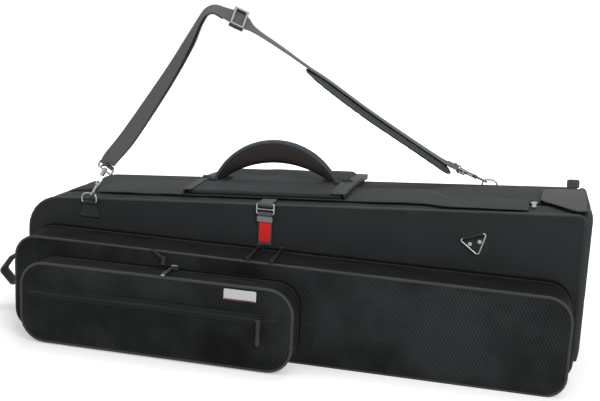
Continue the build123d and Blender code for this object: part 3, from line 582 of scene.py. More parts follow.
def cloth(name, dark, light, thread=900.0, rib=150.0, turn=0.8, wave=0.0, ribbed=0.0, weave=0.25, rough=0.82,
          sheen=0.03, spread=9.0, crumple=0.5, shine=0.12,
          fade=0.0):
    """Woven or ribbed cloth with threads, slow tone changes and soft creases."""
    finish = blank(name)
    if finish is None:
        return bpy.data.materials[name]
    tree = finish.node_tree
    surface = tree.nodes["Principled BSDF"]
    surface.inputs["Roughness"].default_value = rough
    surface.inputs["Sheen Weight"].default_value = sheen
    surface.inputs["Sheen Roughness"].default_value = 0.45
    surface.inputs["Specular IOR Level"].default_value = shine
    uv = tree.nodes.new("ShaderNodeUVMap")
    uv.uv_map = "cloth"
    threads = tree.nodes.new("ShaderNodeGroup")
    threads.node_tree = weave_group()
    for key, value in (("Thread", thread), ("Rib", rib), ("Turn", turn), ("Wave", wave)):
        threads.inputs[key].default_value = value
    tree.links.new(uv.outputs[0], threads.inputs["UV"])
    wear = tree.nodes.new("ShaderNodeGroup")
    wear.node_tree = wear_group()
    wear.inputs["Spread"].default_value = spread
    height = math_node(tree, "ADD", math_node(tree, "MULTIPLY", threads.outputs["Weave"], weave),
                       math_node(tree, "MULTIPLY", threads.outputs["Ribs"], ribbed))
    # Colour level: slow random tone plus the weave and rib height, so raised ribs and threads get a painted highlight
    # and their grooves painted shade.
    tone = math_node(tree, "ADD", math_node(tree, "MULTIPLY", wear.outputs["Tone"], 0.55),
                     math_node(tree, "MULTIPLY", height, 0.65))
    if fade:
        patch = tree.nodes.new("ShaderNodeMapRange")
        patch.inputs["From Min"].default_value = 0.36
        patch.inputs["From Max"].default_value = 0.62
        patch.inputs["To Min"].default_value = 0.16
        tree.links.new(wear.outputs["Tone"], patch.inputs["Value"])
        tone = math_node(tree, "MULTIPLY", tone, patch.outputs[0])
    tree.links.new(mix_rgb(tree, tone, dark, light), surface.inputs["Base Color"])
    bump = tree.nodes.new("ShaderNodeBump")
    bump.inputs["Strength"].default_value = 0.6
    bump.inputs["Distance"].default_value = 0.0009
    tree.links.new(height, bump.inputs["Height"])
    crease = tree.nodes.new("ShaderNodeBump")
    crease.inputs["Strength"].default_value = crumple
    crease.inputs["Distance"].default_value = 0.004
    tree.links.new(wear.outputs["Tone"], crease.inputs["Height"])
    tree.links.new(bump.outputs[0], crease.inputs["Normal"])
    tree.links.new(crease.outputs[0], surface.inputs["Normal"])
    return finish


def leather(name, dark, light, grain=420.0, rough=0.5, depth=0.0006):
    """Pebbled leather or coated cloth."""
    finish = blank(name)
    if finish is None:
        return bpy.data.materials[name]
    tree = finish.node_tree
    surface = tree.nodes["Principled BSDF"]
    surface.inputs["Specular IOR Level"].default_value = 0.25
    place = tree.nodes.new("ShaderNodeTexCoord")
    cells = tree.nodes.new("ShaderNodeTexVoronoi")
    cells.inputs["Scale"].default_value = grain
    tree.links.new(place.outputs["Object"], cells.inputs["Vector"])
    wear = tree.nodes.new("ShaderNodeGroup")
    wear.node_tree = wear_group()
    wear.inputs["Spread"].default_value = 14.0
    tone = math_node(tree, "ADD", math_node(tree, "MULTIPLY", wear.outputs["Tone"], 0.7),
                     math_node(tree, "MULTIPLY", cells.outputs["Distance"], 0.4))
    tree.links.new(mix_rgb(tree, tone, dark, light), surface.inputs["Base Color"])
    gloss = math_node(tree, "MULTIPLY_ADD", wear.outputs["Tone"], 0.2)
    gloss.node.inputs[2].default_value = rough
    tree.links.new(gloss, surface.inputs["Roughness"])
    bump = tree.nodes.new("ShaderNodeBump")
    bump.inputs["Strength"].default_value = 0.5
    bump.inputs["Distance"].default_value = depth
    tree.links.new(cells.outputs["Distance"], bump.inputs["Height"])
    tree.links.new(bump.outputs[0], surface.inputs["Normal"])
    return finish


def metal(name, color, rough, metallic=1.0, scratch=0.08):
    """Plated or enamelled metal with fine scratches and dulled patches."""
    finish = blank(name)
    if finish is None:
        return bpy.data.materials[name]
    tree = finish.node_tree
    surface = tree.nodes["Principled BSDF"]
    surface.inputs["Metallic"].default_value = metallic
    place = tree.nodes.new("ShaderNodeTexCoord")
    dull = tree.nodes.new("ShaderNodeTexNoise")
    dull.inputs["Scale"].default_value = 160.0
    dull.inputs["Detail"].default_value = 6.0
    tree.links.new(place.outputs["Object"], dull.inputs["Vector"])
    level = math_node(tree, "MULTIPLY_ADD", dull.outputs[0], scratch * 2)
    level.node.inputs[2].default_value = rough - scratch
    tree.links.new(level, surface.inputs["Roughness"])
    shade = tuple(c * 0.8 for c in color)
    tree.links.new(mix_rgb(tree, dull.outputs[0], shade, color), surface.inputs["Base Color"])
    bump = tree.nodes.new("ShaderNodeBump")
    bump.inputs["Strength"].default_value = 0.15
    bump.inputs["Distance"].default_value = 0.0002
    tree.links.new(dull.outputs[0], bump.inputs["Height"])
    tree.links.new(bump.outputs[0], surface.inputs["Normal"])
    return finish


def finishes():
    """Every finish of the case, made once."""
    base = tuple(bpy.context.scene.case_look.cloth_color)

    def tone(level):
        return tuple(c * level for c in base)
    return {
        "body": cloth("body cloth", tone(0.8), tone(2.0), thread=700, weave=0.35, crumple=0.55),
        "pocket": cloth("pocket cloth", tone(0.08), tone(0.42), thread=620, weave=0.3, spread=12, shine=0.06),
        # Ribbed cloth: near-black grooves and grey ridges; through the rib height in its colour, the ridges carry a
        # painted highlight and the grooves painted shade.
        "ribbed": cloth("ribbed cloth", tone(0.02), tone(2.1), thread=700, weave=0.03, rib=215, turn=0.52, wave=0.55,
                        ribbed=0.8, crumple=0.6, rough=0.7, shine=0.08, spread=5.0, fade=1.0),
        "lining": cloth("plush lining", tone(0.4), tone(1.4), thread=1500, weave=0.2, rough=0.95, sheen=0.3),
        "flap": cloth("flap cloth", tone(1.2), tone(2.9), thread=520, weave=0.4, crumple=0.5),
        "saddle": cloth("saddle cloth", tone(1.0), tone(2.8), thread=460, weave=0.5, crumple=0.6),
        "webbing": cloth("webbing", tone(0.35), tone(2.2), thread=450, rib=330, turn=0.0, ribbed=0.5, weave=0.3,
                         rough=0.7, spread=20),
        "pad": cloth("pad cloth", tone(1.0), tone(3.2), thread=480, rib=120, turn=0.78, ribbed=0.35, weave=0.35),
        "binding": cloth("edge binding", (0.035, 0.042, 0.048), (0.11, 0.125, 0.135), thread=700, weave=0.4, rough=0.7),
        "piping": cloth("corded piping", (0.016, 0.018, 0.016), (0.075, 0.08, 0.074), thread=700, rib=260, turn=0.6,
                        ribbed=0.4, rough=0.6),
        "tape": cloth("zip tape", tone(0.4), tone(1.2), thread=1100, rib=700, turn=0.0, ribbed=0.4, weave=0.2),
        "teeth": leather("zip teeth", tone(0.6), tone(2.2), rough=0.35, depth=0.0001),
        "bumper": cloth("bumper cloth", tone(1.1), tone(3.4), thread=520, weave=0.45, rough=0.75, crumple=0.6),
        "red": cloth("red webbing", (0.46, 0.009, 0.011), (0.92, 0.034, 0.034), thread=500, rib=420, turn=0.0, ribbed=0.3,
                     rough=0.6),
        "label": cloth("label cloth", (0.45, 0.45, 0.46), (0.72, 0.72, 0.74), thread=1300, weave=0.3, rough=0.6, crumple=0.1),
        "label_edge": cloth("label edge", (0.10, 0.012, 0.012), (0.2, 0.03, 0.03), thread=1300, weave=0.3, crumple=0.0),
        "thread": cloth("sewing thread", tone(2.5), tone(6.0), thread=2500, rib=2200, ribbed=0.5, crumple=0.0),
        "dark_thread": cloth("dark sewing thread", tone(0.9), tone(3.0), thread=2500, rib=2200, ribbed=0.5, crumple=0.0),
        "leather": leather("black pebbled leather", tone(0.1), tone(1.1), rough=0.45),
        "grip": leather("grip leather", (0.003, 0.0022, 0.002), (0.019, 0.0135, 0.0115), grain=620, rough=0.5),
        "steel": metal("bright steel", (0.3, 0.31, 0.32), 0.28),
        "enamel": metal("black enamel", (0.02, 0.02, 0.022), 0.34, metallic=0.5),
        "buckle": metal("dull plate", (0.15, 0.16, 0.17), 0.38, metallic=0.8),
    }


# Pieces of the case body
def face_depth(y, side, bulge, seed, crumple=1.2, size=120.0):
    """Depth of a padded face: it swells away from its edge and has slow creases."""
    def depth(x, z, reach):
        swell = bulge * (1 - math.exp(-reach / 38.0))
        crease = crumple * fold(x, y, z * 1.5, seed, size, 3) * ramp(reach, 4, 30)
        return y + side * (swell + crease)
    return depth


def flat_depth(y):
    return lambda x, z, reach: y


def wobble(ring, amount, seed, keep_low=4.0):
    """Ring of a gusset with the small waves of sewn cloth; its base stays flat."""
    outs = normals_of([Vector((p.x, p.z)) for p in ring])
    moved = []
    for p, n in zip(ring, outs):
        push = amount * (fold(p.x, p.y * 2.0, p.z, seed, 45.0) - 0.35) * ramp(p.z, keep_low, 30)
        moved.append(Vector((p.x + n.x * push, p.y, p.z + n.y * push)))
    return moved


def body_pieces():
    """Padded tub and cover with their linings, bumpers and fabric hinge."""
    f = finishes()
    for name, side, face, gap, node, seed in (("cover", -1, FACE, ZIP_Y - SEAM, "cover_shell", 3.0),
                                              ("tub", 1, BACK, ZIP_Y, "tub_shell", 7.0)):
        def at(depth):
            return face - side * depth
        channel_y = ZIP_Y + side * CHANNEL_HALF
        span = abs(channel_y - at(9))
        rings = [(at(0.2), 4.2, 4.2), (at(0.8), 2.2, 2.2), (at(2.8), 0.6, 0.6), (at(6), 0.1, 0), (at(9), 0, 0)]
        steps = max(3, int(span / 12))
        rings += [(at(9) - side * span * k / steps, 0.0, 0.0) for k in range(1, steps)]
        rings += [(channel_y + side * 1.2, 0.3, 0), (channel_y, 1.6, 0), (channel_y - side * 0.3, CHANNEL, 0),
                  (gap, CHANNEL, 0), (gap, WALL, WALL)]
        deep = at(7 if side < 0 else WALL)
        rings += [(gap + (deep - gap) * k / 4, WALL, WALL) for k in range(1, 5)]
        loops = [wobble(body_loop(y, a, b), 0.9 if a < 0.05 else 0.0, seed) for y, a, b in rings]
        mesh = shell(name, loops, face_depth(at(0.2), side, 2.6, seed), flat_depth(deep), 9.0)
        add(name + "_cloth", mesh, "case_body" if side > 0 else "front_cover", f["body"],
            "shell_fabric" if side > 0 else "cover_fabric", (node,), sharp=50)
    for node, name, body, voxel in (("tub_lining", "tub_foam", "case_body", 6.0),
                                    ("cover_lining", "cover_foam", "front_cover", 4.0)):
        mesh = softened(node, name, voxel, 2, puff=-0.4, crumple=0.5)
        piece = add(name, mesh, body, f["lining"], "lining", (node,))
    strip = softened("hinge_strip", "fabric_hinge", 1.0, 1)
    piece = add("fabric_hinge", strip, None, f["webbing"], "webbing", ("hinge_strip",))
    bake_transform(piece)
    for name, node, y_in, side, body in (("rear_bumper", "end_bumper_rear", ZIP_Y + 5, BACK - 6, "case_body"),
                                         ("front_bumper", "end_bumper_front", ZIP_Y - 5, FACE + 6, "front_cover")):
        x, z = X1, top_z(X1) - 5
        way = 1 if side > y_in else -1
        bend = [(side - way * 12 * (1 - math.sin(a)), z - 12 * (1 - math.cos(a)))
                for a in [math.pi / 2 * k / 8 for k in range(9)]]
        line = [Vector((x, y_in + (side - way * 12 - y_in) * k / 16, z)) for k in range(16)]
        line += [Vector((x, y, zz)) for y, zz in bend]
        line += [Vector((x, side, z - 12 + (34 - z + 12) * k / 22)) for k in range(1, 23)]
        outs = [Vector((1, 0, 0))] * len(line)
        mesh = band(name, line, outs, circle(8.0, 16), False)
        for v in mesh.vertices:
            i = min(range(len(line)), key=lambda k: (line[k] * MM - v.co).length_squared)
            centre = line[i] * MM
            end = min(i, len(line) - 1 - i)
            pinch = (0.72, 0.92)[end] if end < 2 else 1.0
            ripple = 1 + 0.05 * fold(v.co.x / MM, v.co.y / MM, v.co.z / MM, 2.0, 14.0)
            v.co = centre + (v.co - centre) * pinch * min(ripple, 1.0)
        piece = add(name, mesh, body, f["bumper"], "bumper", (node,))


def pocket_door(name, loop, face, zip_y, wall, seed, body, finish, slot, node, bulge):
    """Front of a pocket that folds down: ribbed face, gusset and turned-in edge at the zip."""
    rings = [(face + 0.2, 3.6, 0), (face + 0.8, 1.6, 0), (face + 3, 0.3, 0), (face + 7, 0, 0)]
    rear = zip_y - 5
    rings += [(face + 7 + (rear - 2.5 - face - 7) * k / 5, 0, 0) for k in range(1, 6)]
    rings += [(rear - 0.6, 0.3, 0), (rear, 1.4, 0), (rear, 3.1, 0.3), (zip_y - 0.2, 3.1, 0.3),
              (zip_y - 0.2, wall + 1.2, wall + 1.0), (face + wall + 8, wall + 1.2, wall + 1.0),
              (face + wall, wall + 1.2, wall + 1.0)]
    loops = []
    for y, inset, low in rings:
        ring = loop(y, inset, max(low, 0.0) if inset > 4 else min(inset, 0.4))
        loops.append(wobble(ring, 1.8 if inset == 0 else 0.0, seed))
    mesh = shell(name, loops, face_depth(face + 0.2, -1, bulge, seed, 1.6, 90.0), flat_depth(face + wall), 7.5)
    gusset = finishes()["pocket"]
    piece = add(name, mesh, body, finish, slot, (node,), sharp=50)
    piece.data.materials.append(gusset)
    for part in piece.data.polygons:
        if abs(part.normal.y) < 0.75 or part.center.y > (face + 3) * MM:
            part.material_index = 1
    return piece


def pocket_rim(name, loop, face, zip_y, body, slot, node):
    """Fixed gusset of a pocket, with the turned edge that carries half the zip."""
    front = zip_y + 5
    rings = [(face - 0.5, 0.2, 0), (front + 0.8, 0, 0), (front, 1.4, 0.2), (front, 3.1, 0.3), (zip_y + 0.2, 3.1, 0.3),
             (zip_y + 0.2, 5, 5), (face - 0.5, 5, 5)]
    mesh = shell(name, [loop(y, a, b) for y, a, b in rings], loop_back=True)
    return add(name, mesh, body, finishes()["pocket"], slot, (node,), sharp=50)


def pocket_pieces():
    """Both zipped pockets and the bare label."""
    f = finishes()
    pocket_rim("big_rim_cloth", big_loop, FACE, BIG_ZIP_Y, "front_cover", "pocket_fabric", "big_pocket_rim")
    pocket_rim("small_rim_cloth", small_loop, BIG_FACE, SMALL_ZIP_Y, "big_pocket", "pocket_fabric", "small_pocket_rim")
    pocket_door("big_pocket_cloth", big_loop, BIG_FACE, BIG_ZIP_Y, 4, 11.0, "big_pocket", f["ribbed"],
                "pocket_fabric", "big_pocket_shell", 3.0)
    pocket_door("small_pocket_cloth", small_loop, SMALL_FACE, SMALL_ZIP_Y, 4, 15.0, "small_pocket", f["ribbed"],
                "ribbed_fabric", "small_pocket_shell", 1.0)
    y = SMALL_FACE
    corners = [(-66, 111), (-15, 111), (-15, 128), (-66, 128)]

    def outline(depth, inset):
        points = rounded_loop([(x + (inset if x < -40 else -inset), z + (inset if z < 120 else -inset)) for x, z in corners],
                              [2.0 - inset] * 4, (20, 8, 20, 8), 4)
        return [Vector((p.x, depth, p.y)) for p in points]
    mesh = shell("label", [outline(y - 1.9, 0.4), outline(y - 1.7, 0.0), outline(y - 0.2, 0.0)],
                 lambda x, z, reach: y - 1.9 - 0.15 * ramp(reach, 0, 3), flat_depth(y - 0.2), 3.0)
    add("bare_label", mesh, "small_pocket", f["label"], "label", ("label_patch",), sharp=50)
    line = [Vector((x, y - 2.0, 112.2)) for x in range(-65, -15)]
    mesh = band("label_edge", line, [Vector((0, -1, 0))] * len(line), [(-0.9, -0.2), (0.9, -0.2), (0.9, 0.1), (-0.9, 0.1)], False)
    add("label_lower_edge", mesh, "small_pocket", f["label_edge"], "label")


def zip_line(name, loop, y, side, inset, low, body, slot, tape_width, node=None):
    """One half of a zip: woven tape and its coil of teeth."""
    f = finishes()
    points, outs = along_loop(loop(y, inset), low)
    middle = y + side * (tape_width / 2 + 0.1)
    lane, lane_outs = along_loop(loop(middle, inset), low)
    w = tape_width / 2
    section = [(-w, -0.8), (w, -0.8), (w, 0.0), (w * 0.5, 0.12), (0, 0.0), (-w * 0.5, 0.12), (-w, 0.0)]
    mesh = band(name + "_tape", lane, lane_outs, section, False)
    add(name + "_tape", mesh, body, f["tape"], slot, (node,) if node else (), sharp=50)
    teeth = [p + Vector((0, side * 1.1, 0)) + o * 0.5 for p, o in zip(points, outs)]
    row(name + "_teeth", [(teeth, outs)], 1.9, (1.7, 2.7, 1.9), f["teeth"], body, slot)


def zip_pieces():
    """Zips of the case and both pockets, and the flat zip on the small pocket's front."""
    f = finishes()
    middle = ZIP_Y - SEAM / 2
    zip_line("rear_zip", lambda y, i: body_loop(y, i, i), middle, 1, CHANNEL - 0.9, 32, "case_body", "zip_tape", 8.6, "tub_zip_half")
    zip_line("cover_zip", lambda y, i: body_loop(y, i, i), middle, -1, CHANNEL - 0.9, 32, "front_cover", "zip_tape", 8.6,
             "cover_zip_half")
    for name, loop, y, one, two in (("big", big_loop, BIG_ZIP_Y, "front_cover", "big_pocket"),
                                    ("small", small_loop, SMALL_ZIP_Y, "big_pocket", "small_pocket")):
        zip_line(name + "_rim_zip", loop, y, 1, 2.6, 32, one, "zip_tape", 4.6)
        zip_line(name + "_door_zip", loop, y, -1, 2.6, 32, two, "zip_tape", 4.6)
    left, right, y = SMALL_LEFT + 12, SMALL_RIGHT - 18, SMALL_FACE - 1.2
    out = Vector((0, -1, 0))
    steps = 60
    line = [Vector((left + (right - left) * k / steps, y + 0.3, FRONT_ZIP_Z)) for k in range(steps + 1)]
    line = [p + Vector((0, -1.2 * ramp(min(p.x - left, right - p.x), 0, 30), 0.5 * math.sin(p.x / 40))) for p in line]
    line = [p + Vector((0, 0.6, 0)) for p in line]
    section = [(-8, -0.6), (8, -0.6), (8, 0.1), (3, 0.35), (0, 0.1), (-3, 0.35), (-8, 0.1)]
    mesh = band("front_zip_tape", line, [out] * len(line), section, False)
    add("front_zip_tape", mesh, "small_pocket", f["tape"], "zip_tape", ("front_zip",), sharp=50)
    for way in (-1, 1):
        teeth = [p + Vector((0, -0.8, way * 1.15)) for p in line[1:-1]]
        row("front_zip_teeth_%d" % (way + 1), [(teeth, [out] * len(teeth))], 1.9, (1.7, 2.7, 1.9), f["teeth"],
            "small_pocket", "zip_tape")
    seams = []
    for way in (-1, 1):
        seams.append(([p + Vector((0, -0.5, way * 6.6)) for p in line], [out] * len(line)))
    row("front_zip_seams", seams, 3.6, (2.6, 0.7, 0.6), f["dark_thread"], "small_pocket", "zip_tape")


def inner_line(loop, y, inset, side):
    """Path just proud of a face, inside its edge, with the way out of that face."""
    points = [Vector((p.x, y, p.z)) for p in loop(y, inset)]
    points.append(points[0].copy())
    return points, [Vector((0, side, 0))] * len(points)


def gusset_line(loop, y, lift, low):
    """Path round a gusset, for its stitches."""
    points, outs = along_loop(loop(y, 0.0), low)
    return [p + o * lift for p, o in zip(points, outs)], outs


def seam_pieces():
    """Stitched seams of the pockets, the case's gussets and the leather pieces."""
    f = finishes()
    size = (3.0, 0.8, 0.6)
    row("small_face_stitches", [inner_line(small_loop, SMALL_FACE - 0.35, 7.0, -1)], 4.4, size, f["dark_thread"],
        "small_pocket", "ribbed_fabric")
    row("big_face_stitches", [inner_line(big_loop, BIG_FACE - 0.75, 8.0, -1)], 4.4, size, f["dark_thread"],
        "big_pocket", "pocket_fabric")
    row("cover_face_stitches", [inner_line(body_loop, FACE - 0.75, 9.0, -1)], 4.4, size, f["dark_thread"],
        "front_cover", "cover_fabric")
    row("tub_face_stitches", [inner_line(body_loop, BACK + 0.75, 9.0, 1)], 4.4, size, f["dark_thread"],
        "case_body", "shell_fabric")
    row("big_gusset_stitches", [gusset_line(big_loop, y, 0.15, 30) for y in (BIG_ZIP_Y - 9, BIG_FACE + 8)], 4.4, size,
        f["dark_thread"], "big_pocket", "pocket_fabric")
    row("small_gusset_stitches", [gusset_line(small_loop, y, 0.15, 30) for y in (SMALL_ZIP_Y - 9, SMALL_FACE + 8)], 4.4,
        size, f["dark_thread"], "small_pocket", "ribbed_fabric")
    row("cover_gusset_stitches", [gusset_line(body_loop, ZIP_Y - 14, 0.3, 30)], 4.4, size, f["dark_thread"],
        "front_cover", "cover_fabric")
    row("tub_gusset_stitches", [gusset_line(body_loop, ZIP_Y + 14, 0.3, 30)], 4.4, size, f["dark_thread"],
        "case_body", "shell_fabric")


def piping_pieces():
    """Corded edging round the case's faces and both pockets."""
    f = finishes()
    for name, loop, y, inset, radius, body, node in (
            ("tub_cord_edge", body_loop, BACK - 1.5, 1.5, 2.4, "case_body", "tub_piping"),
            ("cover_cord_edge", body_loop, FACE + 1.5, 1.5, 2.4, "front_cover", "cover_piping"),
            ("big_cord_edge", big_loop, BIG_FACE + 1.2, 1.2, 2.3, "big_pocket", "big_pocket_piping"),
            ("small_cord_edge", small_loop, SMALL_FACE + 1.2, 1.2, 2.3, "small_pocket", "small_pocket_piping")):
        points, outs = along_loop(loop(y, inset))
        mesh = band(name, points, outs, circle(radius, 10), True)
        for v in mesh.vertices:
            v.co.z = max(v.co.z, 0.0)
        add(name, mesh, body, f["piping"], "piping", (node,))


# Pieces on the top
def top_sheet(name, corners, radii, spans, low, high, sag=0.0, seed=1.0, spacing=8.0):
    """Thin sewn sheet that follows the crowned top; low and high give its faces over it at (x, y)."""
    loop = rounded_loop(corners, radii, spans, 5)
    ring = [Vector((p.x, 0, p.y)) for p in loop]
    flat, faces = fill(ring, spacing, lambda x, z, reach: reach, 0)
    over, under = [], []
    for p in flat:
        crease = sag * fold(p.x, p.z, 0, seed, 55.0, 3)
        base = surface_z(p.x, p.z)
        over.append(Vector((p.x, p.z, base + high(p.x, p.z, p.y) + crease)))
        under.append(Vector((p.x, p.z, base + low(p.x, p.z, p.y) + crease)))
    n = len(over)
    every = faces + [tuple(n + k for k in reversed(f)) for f in faces]
    order = {}
    for i, p in enumerate(flat):
        order[(round(p.x, 3), round(p.z, 3))] = i
    border = [order[(round(p.x, 3), round(p.y, 3))] for p in loop if (round(p.x, 3), round(p.y, 3)) in order]
    for k in range(len(border)):
        a, b = border[k], border[(k + 1) % len(border)]
        if a != b:
            every.append((a, b, n + b, n + a))
    return make_mesh(name, over + under, every, weld=False)


def top_pieces():
    """Storm flap over the zip, padded saddle with its patches, tongue patch and end loop."""
    f = finishes()
    right = 378.0 - 8.5
    seam = [(-354, 24), (212, 6), (246, -48), (right, -46)]
    corners = [(right, -116), (246, -113), (212, -100), (-354, -92)]
    outline = [tuple(c) for c in (corners + seam)]
    outline = outline[::-1]
    radii = (4, 12, 12, 4, 6, 12, 12, 6)[::-1]

    def rear_edge(x):
        if x < 212:
            return 24 - 18 * (x + 354) / 566
        return 6 - 54 * ramp(x, 212, 246)

    def low(x, y, reach):
        return 3.3 - 3.0 * ramp(y, rear_edge(x) - 9, rear_edge(x) - 1)

    def high(x, y, reach):
        return low(x, y, reach) + 1.5 - 0.4 * (1 - ramp(reach, 0, 2))
    spans = (20, 6, 60, 14, 60, 6, 20, 8)
    mesh = top_sheet("flap", outline, radii, spans, low, high, 0.9, 5.0, 9.0)
    flap = add("storm_flap_cloth", mesh, "case_body", f["flap"], "flap_fabric", ("storm_flap",), sharp=50)
    saddle = add("saddle_pad", softened("handle_saddle", "saddle", 2.6, 3, 0.3, 0.8, 50.0, 4.0), "case_body", f["saddle"],
                 "flap_fabric", ("handle_saddle",))
    for node, name, voxel, body, slot, finish in (
            ("saddle_patches", "saddle_leathers", 1.3, "case_body", "leather", "leather"),
            ("tongue_patch", "tongue_leather", 1.2, "case_body", "leather", "leather"),
            ("end_loop", "end_loop_webbing", 1.2, "case_body", "webbing", "webbing"),
            ("grab_loop", "grab_loop_webbing", 1.0, "front_cover", "webbing", "webbing"),
            ("clip_tab", "clip_tab_webbing", 0.7, "front_cover", "webbing", "webbing"),
            ("pull_webbing", "pull_strap_webbing", 0.7, "pull_strap", "webbing", "webbing"),
            ("red_pull_tab", "red_tab", 0.6, "pull_strap", "red_webbing", "red"),
            ("left_anchor_plate", "left_anchor_leather", 0.7, "front_cover", "leather", "leather"),
            ("rear_anchor_plate", "rear_anchor_leather", 0.7, "case_body", "leather", "leather"),
            ("right_anchor_plate", "right_anchor_leather", 0.7, "front_cover", "leather", "leather")):
        mesh = softened(node, name, voxel, 1, 0.05, 0.12, 12.0, 6.0)
        add(name, mesh, body, f[finish], slot, (node,))
    seam_line = [Vector((x, rear_edge(x) - 3.0, surface_z(x, rear_edge(x)) + 1.9)) for x in range(-350, 366, 4)]
    front_line = []
    for x in range(-350, 366, 4):
        y = -92 - 8 * (x + 354) / 566 if x < 212 else (-100 - 13 * ramp(x, 212, 246) if x < 246 else -113 - 3 * (x - 246) / 124)
        front_line.append(Vector((x, y + 3.5, surface_z(x, y) + 4.9)))
    up = [Vector((0, 0, 1))] * len(seam_line)
    row("flap_stitches", [(seam_line, up), (front_line, up)], 4.0, (3.0, 0.8, 0.7), f["thread"], "case_body", "flap_fabric")


def arc_through(a, m, b, steps):
    """Points on the circle through three points in the upright plane."""
    ax, az, mx, mz, bx, bz = a[0], a[1], m[0], m[1], b[0], b[1]
    d = 2 * (ax * (mz - bz) + mx * (bz - az) + bx * (az - mz))
    ux = ((ax * ax + az * az) * (mz - bz) + (mx * mx + mz * mz) * (bz - az) + (bx * bx + bz * bz) * (az - mz)) / d
    uz = ((ax * ax + az * az) * (bx - mx) + (mx * mx + mz * mz) * (ax - bx) + (bx * bx + bz * bz) * (mx - ax)) / d
    r = math.hypot(ax - ux, az - uz)
    a0 = math.atan2(az - uz, ax - ux)
    a1 = math.atan2(bz - uz, bx - ux)
    if a0 < a1:
        a0 += 2 * math.pi
    return [(ux + r * math.cos(a0 + (a1 - a0) * k / steps), uz + r * math.sin(a0 + (a1 - a0) * k / steps))
            for k in range(steps + 1)]


def handle_pieces():
    """Padded crescent grip with its bound edge and end bars."""
    f = finishes()
    a, b = pivot(HANDLE_LEFT), pivot(HANDLE_RIGHT)
    mid = (HANDLE_LEFT + HANDLE_RIGHT) / 2
    peak = pivot(mid).z + HANDLE_RISE
    steps = 64
    outer = arc_through((a.x - 4, a.z), (mid, peak), (b.x + 4, b.z), steps)
    inner = arc_through((a.x + 14, a.z + 1), (mid, peak - 40), (b.x - 14, b.z + 1), steps)
    grip, bound, seam = [], [], [[], []]
    for k in range(steps + 1):
        o, i = Vector((outer[k][0], 0, outer[k][1])), Vector((inner[k][0], 0, inner[k][1]))
        up = (o - i).normalized()
        reach = min(k, steps - k) / steps * 240
        wide = 3.4 + 5.6 * ramp(reach, 0, 52)
        grip.append((o - up * 1.5, i, up, wide))
        bound.append((o - up * 4.4, up, wide))
        for s, way in enumerate((-1, 1)):
            seam[s].append(o - up * 10.6 + Vector((0, way * (wide * 0.93 + 0.1), 0)))
    verts, faces, m = [], [], 28
    for o, i, up, wide in grip:
        centre, half = (o + i) / 2, (o - i).length / 2
        for j in range(m):
            angle = 2 * math.pi * j / m
            c, s = math.cos(angle), math.sin(angle)
            c = math.copysign(abs(c) ** 0.75, c)
            s = math.copysign(abs(s) ** 0.6, s)
            crease = 0.25 * fold(centre.x, j, centre.z, 3.0, 14.0)
            verts.append(centre + up * half * c + Vector((0, (wide * 0.94 + crease) * s, 0)))
    rows = len(grip)
    for r in range(rows - 1):
        faces += [(r * m + j, r * m + (j + 1) % m, (r + 1) * m + (j + 1) % m, (r + 1) * m + j) for j in range(m)]
    faces += [tuple(range(m)), tuple(range((rows - 1) * m, rows * m))]
    piece = add("handle_grip_pad", make_mesh("grip", verts, faces), "handle", f["grip"], "grip_leather", ("handle_grip",))
    verts, faces, m = [], [], 16
    for centre, up, wide in bound:
        for j in range(m):
            angle = 2 * math.pi * j / m
            verts.append(centre + up * 4.3 * math.cos(angle) + Vector((0, wide * math.sin(angle), 0)))
    for r in range(rows - 1):
        faces += [(r * m + j, r * m + (j + 1) % m, (r + 1) * m + (j + 1) % m, (r + 1) * m + j) for j in range(m)]
    faces += [tuple(range(m)), tuple(range((rows - 1) * m, rows * m))]
    for x0, x1 in ((HANDLE_LEFT - 23, HANDLE_LEFT + 4), (HANDLE_RIGHT - 4, HANDLE_RIGHT + 23)):
        first = len(verts)
        p0, p1 = pivot(x0), pivot(x1)
        axis = (p1 - p0).normalized()
        side = Vector((0, 1, 0))
        up = axis.cross(side)
        profile = [(0, 0.02), (0, 3.2), (0.8, 3.95), (13.5, 3.95), (26.2, 3.95), (27, 3.2), (27, 0.02)]
        for s, r in profile:
            for j in range(m):
                angle = 2 * math.pi * j / m
                verts.append(p0 + axis * s + side * r * math.cos(angle) + up * r * math.sin(angle))
        for q in range(len(profile) - 1):
            faces += [(first + q * m + j, first + q * m + (j + 1) % m, first + (q + 1) * m + (j + 1) % m,
                       first + (q + 1) * m + j) for j in range(m)]
    add("handle_edge_binding", make_mesh("binding", verts, faces), "handle", f["binding"], "flap_fabric", ("handle_binding",),
        sharp=60)
    paths = [(line[4:-4], [Vector((0, way, 0))] * (len(line) - 8)) for line, way in zip(seam, (-1, 1))]
    row("handle_stitches", paths, 4.2, (3.0, 0.9, 0.8), f["thread"], "handle", "grip_leather")


# Strap
STRAP_A = Vector((-346.0, FACE - 4.5, 0))
STRAP_E = (Vector((292.0, BACK + 4.4, 0)) - STRAP_A).normalized()
STRAP_N = Vector((STRAP_E.y, -STRAP_E.x, 0))
FRONT_EYE = (19.6, 261.9, -0.443, -0.897)
REAR_EYE = (644.4, 277.7, 0.922, -0.387)
EYE_BAR = 17.0 * 0.82


def at(s, z):
    return STRAP_A + STRAP_E * s + Vector((0, 0, z))


def beyond_bar(eye, reach, turn):
    s, z, ds, dz = eye
    return (s - ds * (EYE_BAR + reach), z - dz * (EYE_BAR + reach), turn)


